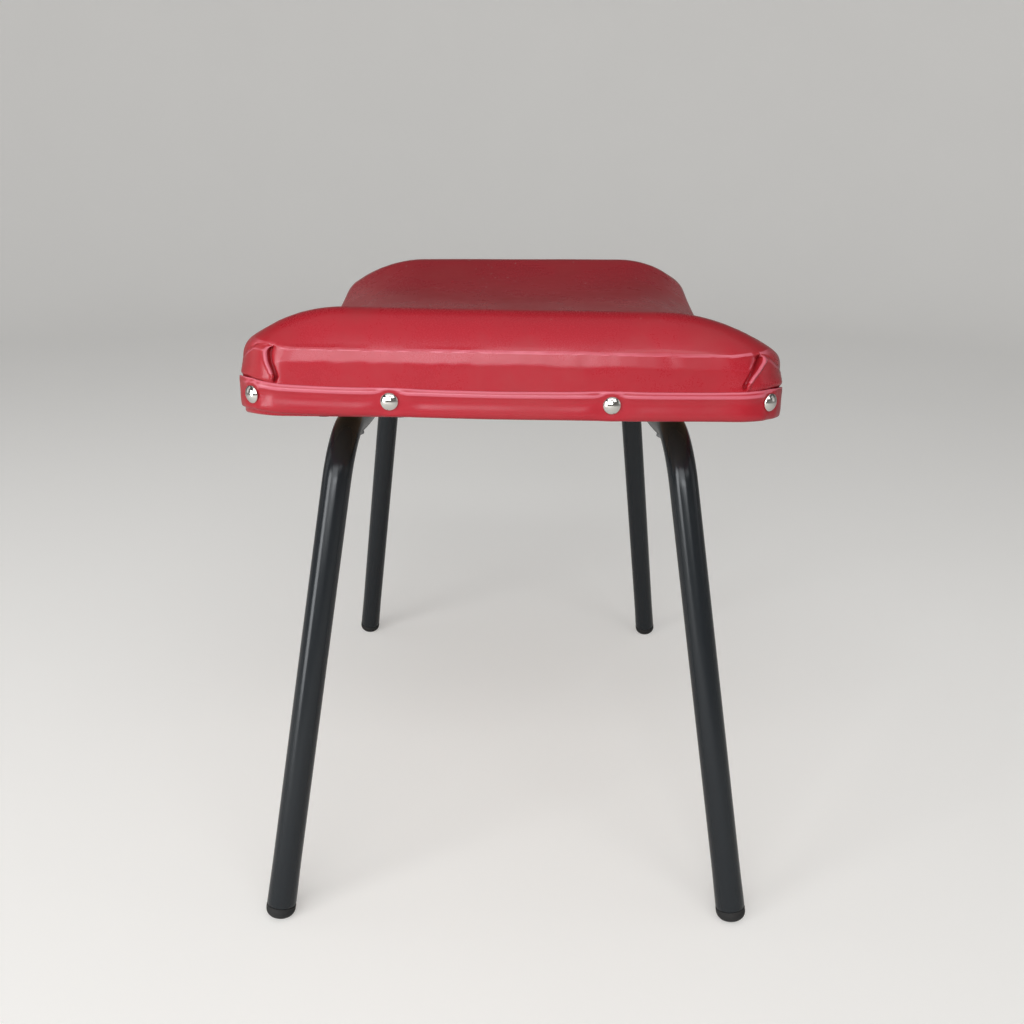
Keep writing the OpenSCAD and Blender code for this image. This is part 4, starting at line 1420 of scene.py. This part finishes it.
class FOOTSTOOL_OT_stage(bpy.types.Operator):
    """Sets up the camera, the lights and the pale floor"""

    bl_idname = "footstool.stage"
    bl_label = "Camera, Lights and Floor"

    def execute(self, context):
        stage = context.scene.footstool.stage
        self.set_camera(context.scene, stage)
        self.set_lights(context.scene, stage)
        self.set_floor()
        context.scene.view_settings.view_transform = "Standard"
        return {"FINISHED"}

    def set_camera(self, scene, stage):
        camera = bpy.data.cameras.new("camera")
        camera.lens = stage.lens
        camera.sensor_width = 36
        camera.clip_start = 0.01
        holder = bpy.data.objects.new("camera", camera)
        scene.collection.objects.link(holder)
        yaw, pitch, roll = stage.yaw, stage.pitch, stage.roll
        ahead = Vector(
            (math.sin(yaw) * math.cos(pitch), math.cos(yaw) * math.cos(pitch), -math.sin(pitch))
        )
        level = Vector((math.cos(yaw), -math.sin(yaw), 0))
        right = level * math.cos(roll) + level.cross(ahead) * math.sin(roll)
        turn = Matrix((right, right.cross(ahead), -ahead)).transposed().to_4x4()
        turn.translation = (stage.camera_x, stage.camera_y, stage.camera_z)
        holder.matrix_world = turn
        scene.camera = holder

    def set_lights(self, scene, stage):
        for name, place, target, size, power in (
            ("key_light", (-0.55, -2.2, 1.22), (0, 0, 0.4), (1.8, 1.3), stage.key_power),
            ("high_light", (0.0, -1.5, 2.0), (0, 0, 0.4), (2.6, 0.45), stage.high_power),
            ("strip_light", (-0.2, -2.15, 0.84), (-0.2, 0, 0.5), (1.1, 0.34), stage.strip_power),
            ("slant_light", (-1.5, -1.35, 0.62), (0, -0.2, 0.3), (0.7, 1.1), stage.slant_power),
            ("corner_light", (1.1, -1.8, 1.7), (0, 0, 0.4), (1.2, 0.7), stage.corner_power),
            ("top_light", (0, -0.7, 2.3), (0, -0.7, 0), (3.2, 2.4), stage.top_power),
            ("left_light", (-2.1, 0.1, 1.0), (0, 0, 0.3), (1.0, 1.4), stage.side_power),
            ("right_light", (2.1, -0.5, 1.0), (0, 0, 0.3), (1.0, 1.4), 0.7 * stage.side_power),
        ):
            light = bpy.data.lights.new(name, "AREA")
            light.shape = "RECTANGLE"
            light.size, light.size_y = size
            light.energy = power
            holder = bpy.data.objects.new(name, light)
            holder.location = place
            aim = Vector(target) - Vector(place)
            holder.rotation_euler = aim.to_track_quat("-Z", "Y").to_euler()
            holder.visible_camera = False
            scene.collection.objects.link(holder)
        scene.world = bpy.data.worlds.new("even_light")
        scene.world.use_nodes = True
        nodes = Nodes(scene.world.node_tree)
        strength = nodes.maths("MAXIMUM", nodes.glow(stage), stage.world)
        background = nodes.tree.nodes["Background"]
        nodes.feed(background, {"Color": (1, 1, 1, 1), "Strength": strength})

    def set_floor(self):
        flat, bend, segments = 2.8, 1.2, 96
        profile = [(0.8, 0), (1.8, 0), (flat, 0)]
        for turn in np.linspace(0, math.pi / 2, 10)[1:]:
            profile.append((flat + bend * math.sin(turn), bend - bend * math.cos(turn)))
        profile += [(flat + bend, 1.35), (flat + bend, 1.5)]
        shape = capped(lattice(circled(profile, segments)), segments, (0, 0, 0), last=False)
        mesh_object("floor", (shape[0], [face[::-1] for face in shape[1]]), "floor_paper")


class FOOTSTOOL_PT_pieces(bpy.types.Panel):
    """A button for each operator"""

    bl_idname = "FOOTSTOOL_PT_pieces"
    bl_label = "Footstool"
    bl_space_type = "VIEW_3D"
    bl_region_type = "UI"
    bl_category = "Footstool"

    def draw(self, context):
        for operator in OPERATORS:
            self.layout.operator(operator.bl_idname)


OPERATORS = (
    FOOTSTOOL_OT_stage,
    FOOTSTOOL_OT_foam,
    FOOTSTOOL_OT_cover,
    FOOTSTOOL_OT_band,
    FOOTSTOOL_OT_nails,
    FOOTSTOOL_OT_tubes,
    FOOTSTOOL_OT_plugs,
    FOOTSTOOL_OT_hidden_parts,
)
CLASSES = (
    SeatSettings,
    BandSettings,
    LegSettings,
    FinishSettings,
    StageSettings,
    FootstoolSettings,
    *OPERATORS,
    FOOTSTOOL_PT_pieces,
)


def register():
    for part in CLASSES:
        bpy.utils.register_class(part)
    bpy.types.Scene.footstool = PointerProperty(type=FootstoolSettings)


def unregister():
    del bpy.types.Scene.footstool
    for part in reversed(CLASSES):
        bpy.utils.unregister_class(part)


def main():
    register()
    bpy.ops.footstool.stage()
    bpy.ops.footstool.foam()
    bpy.ops.footstool.cover()
    bpy.ops.footstool.band()
    bpy.ops.footstool.nails()
    bpy.ops.footstool.tubes()
    bpy.ops.footstool.plugs()
    bpy.ops.footstool.hidden_parts()


if __name__ == "__main__":
    main()
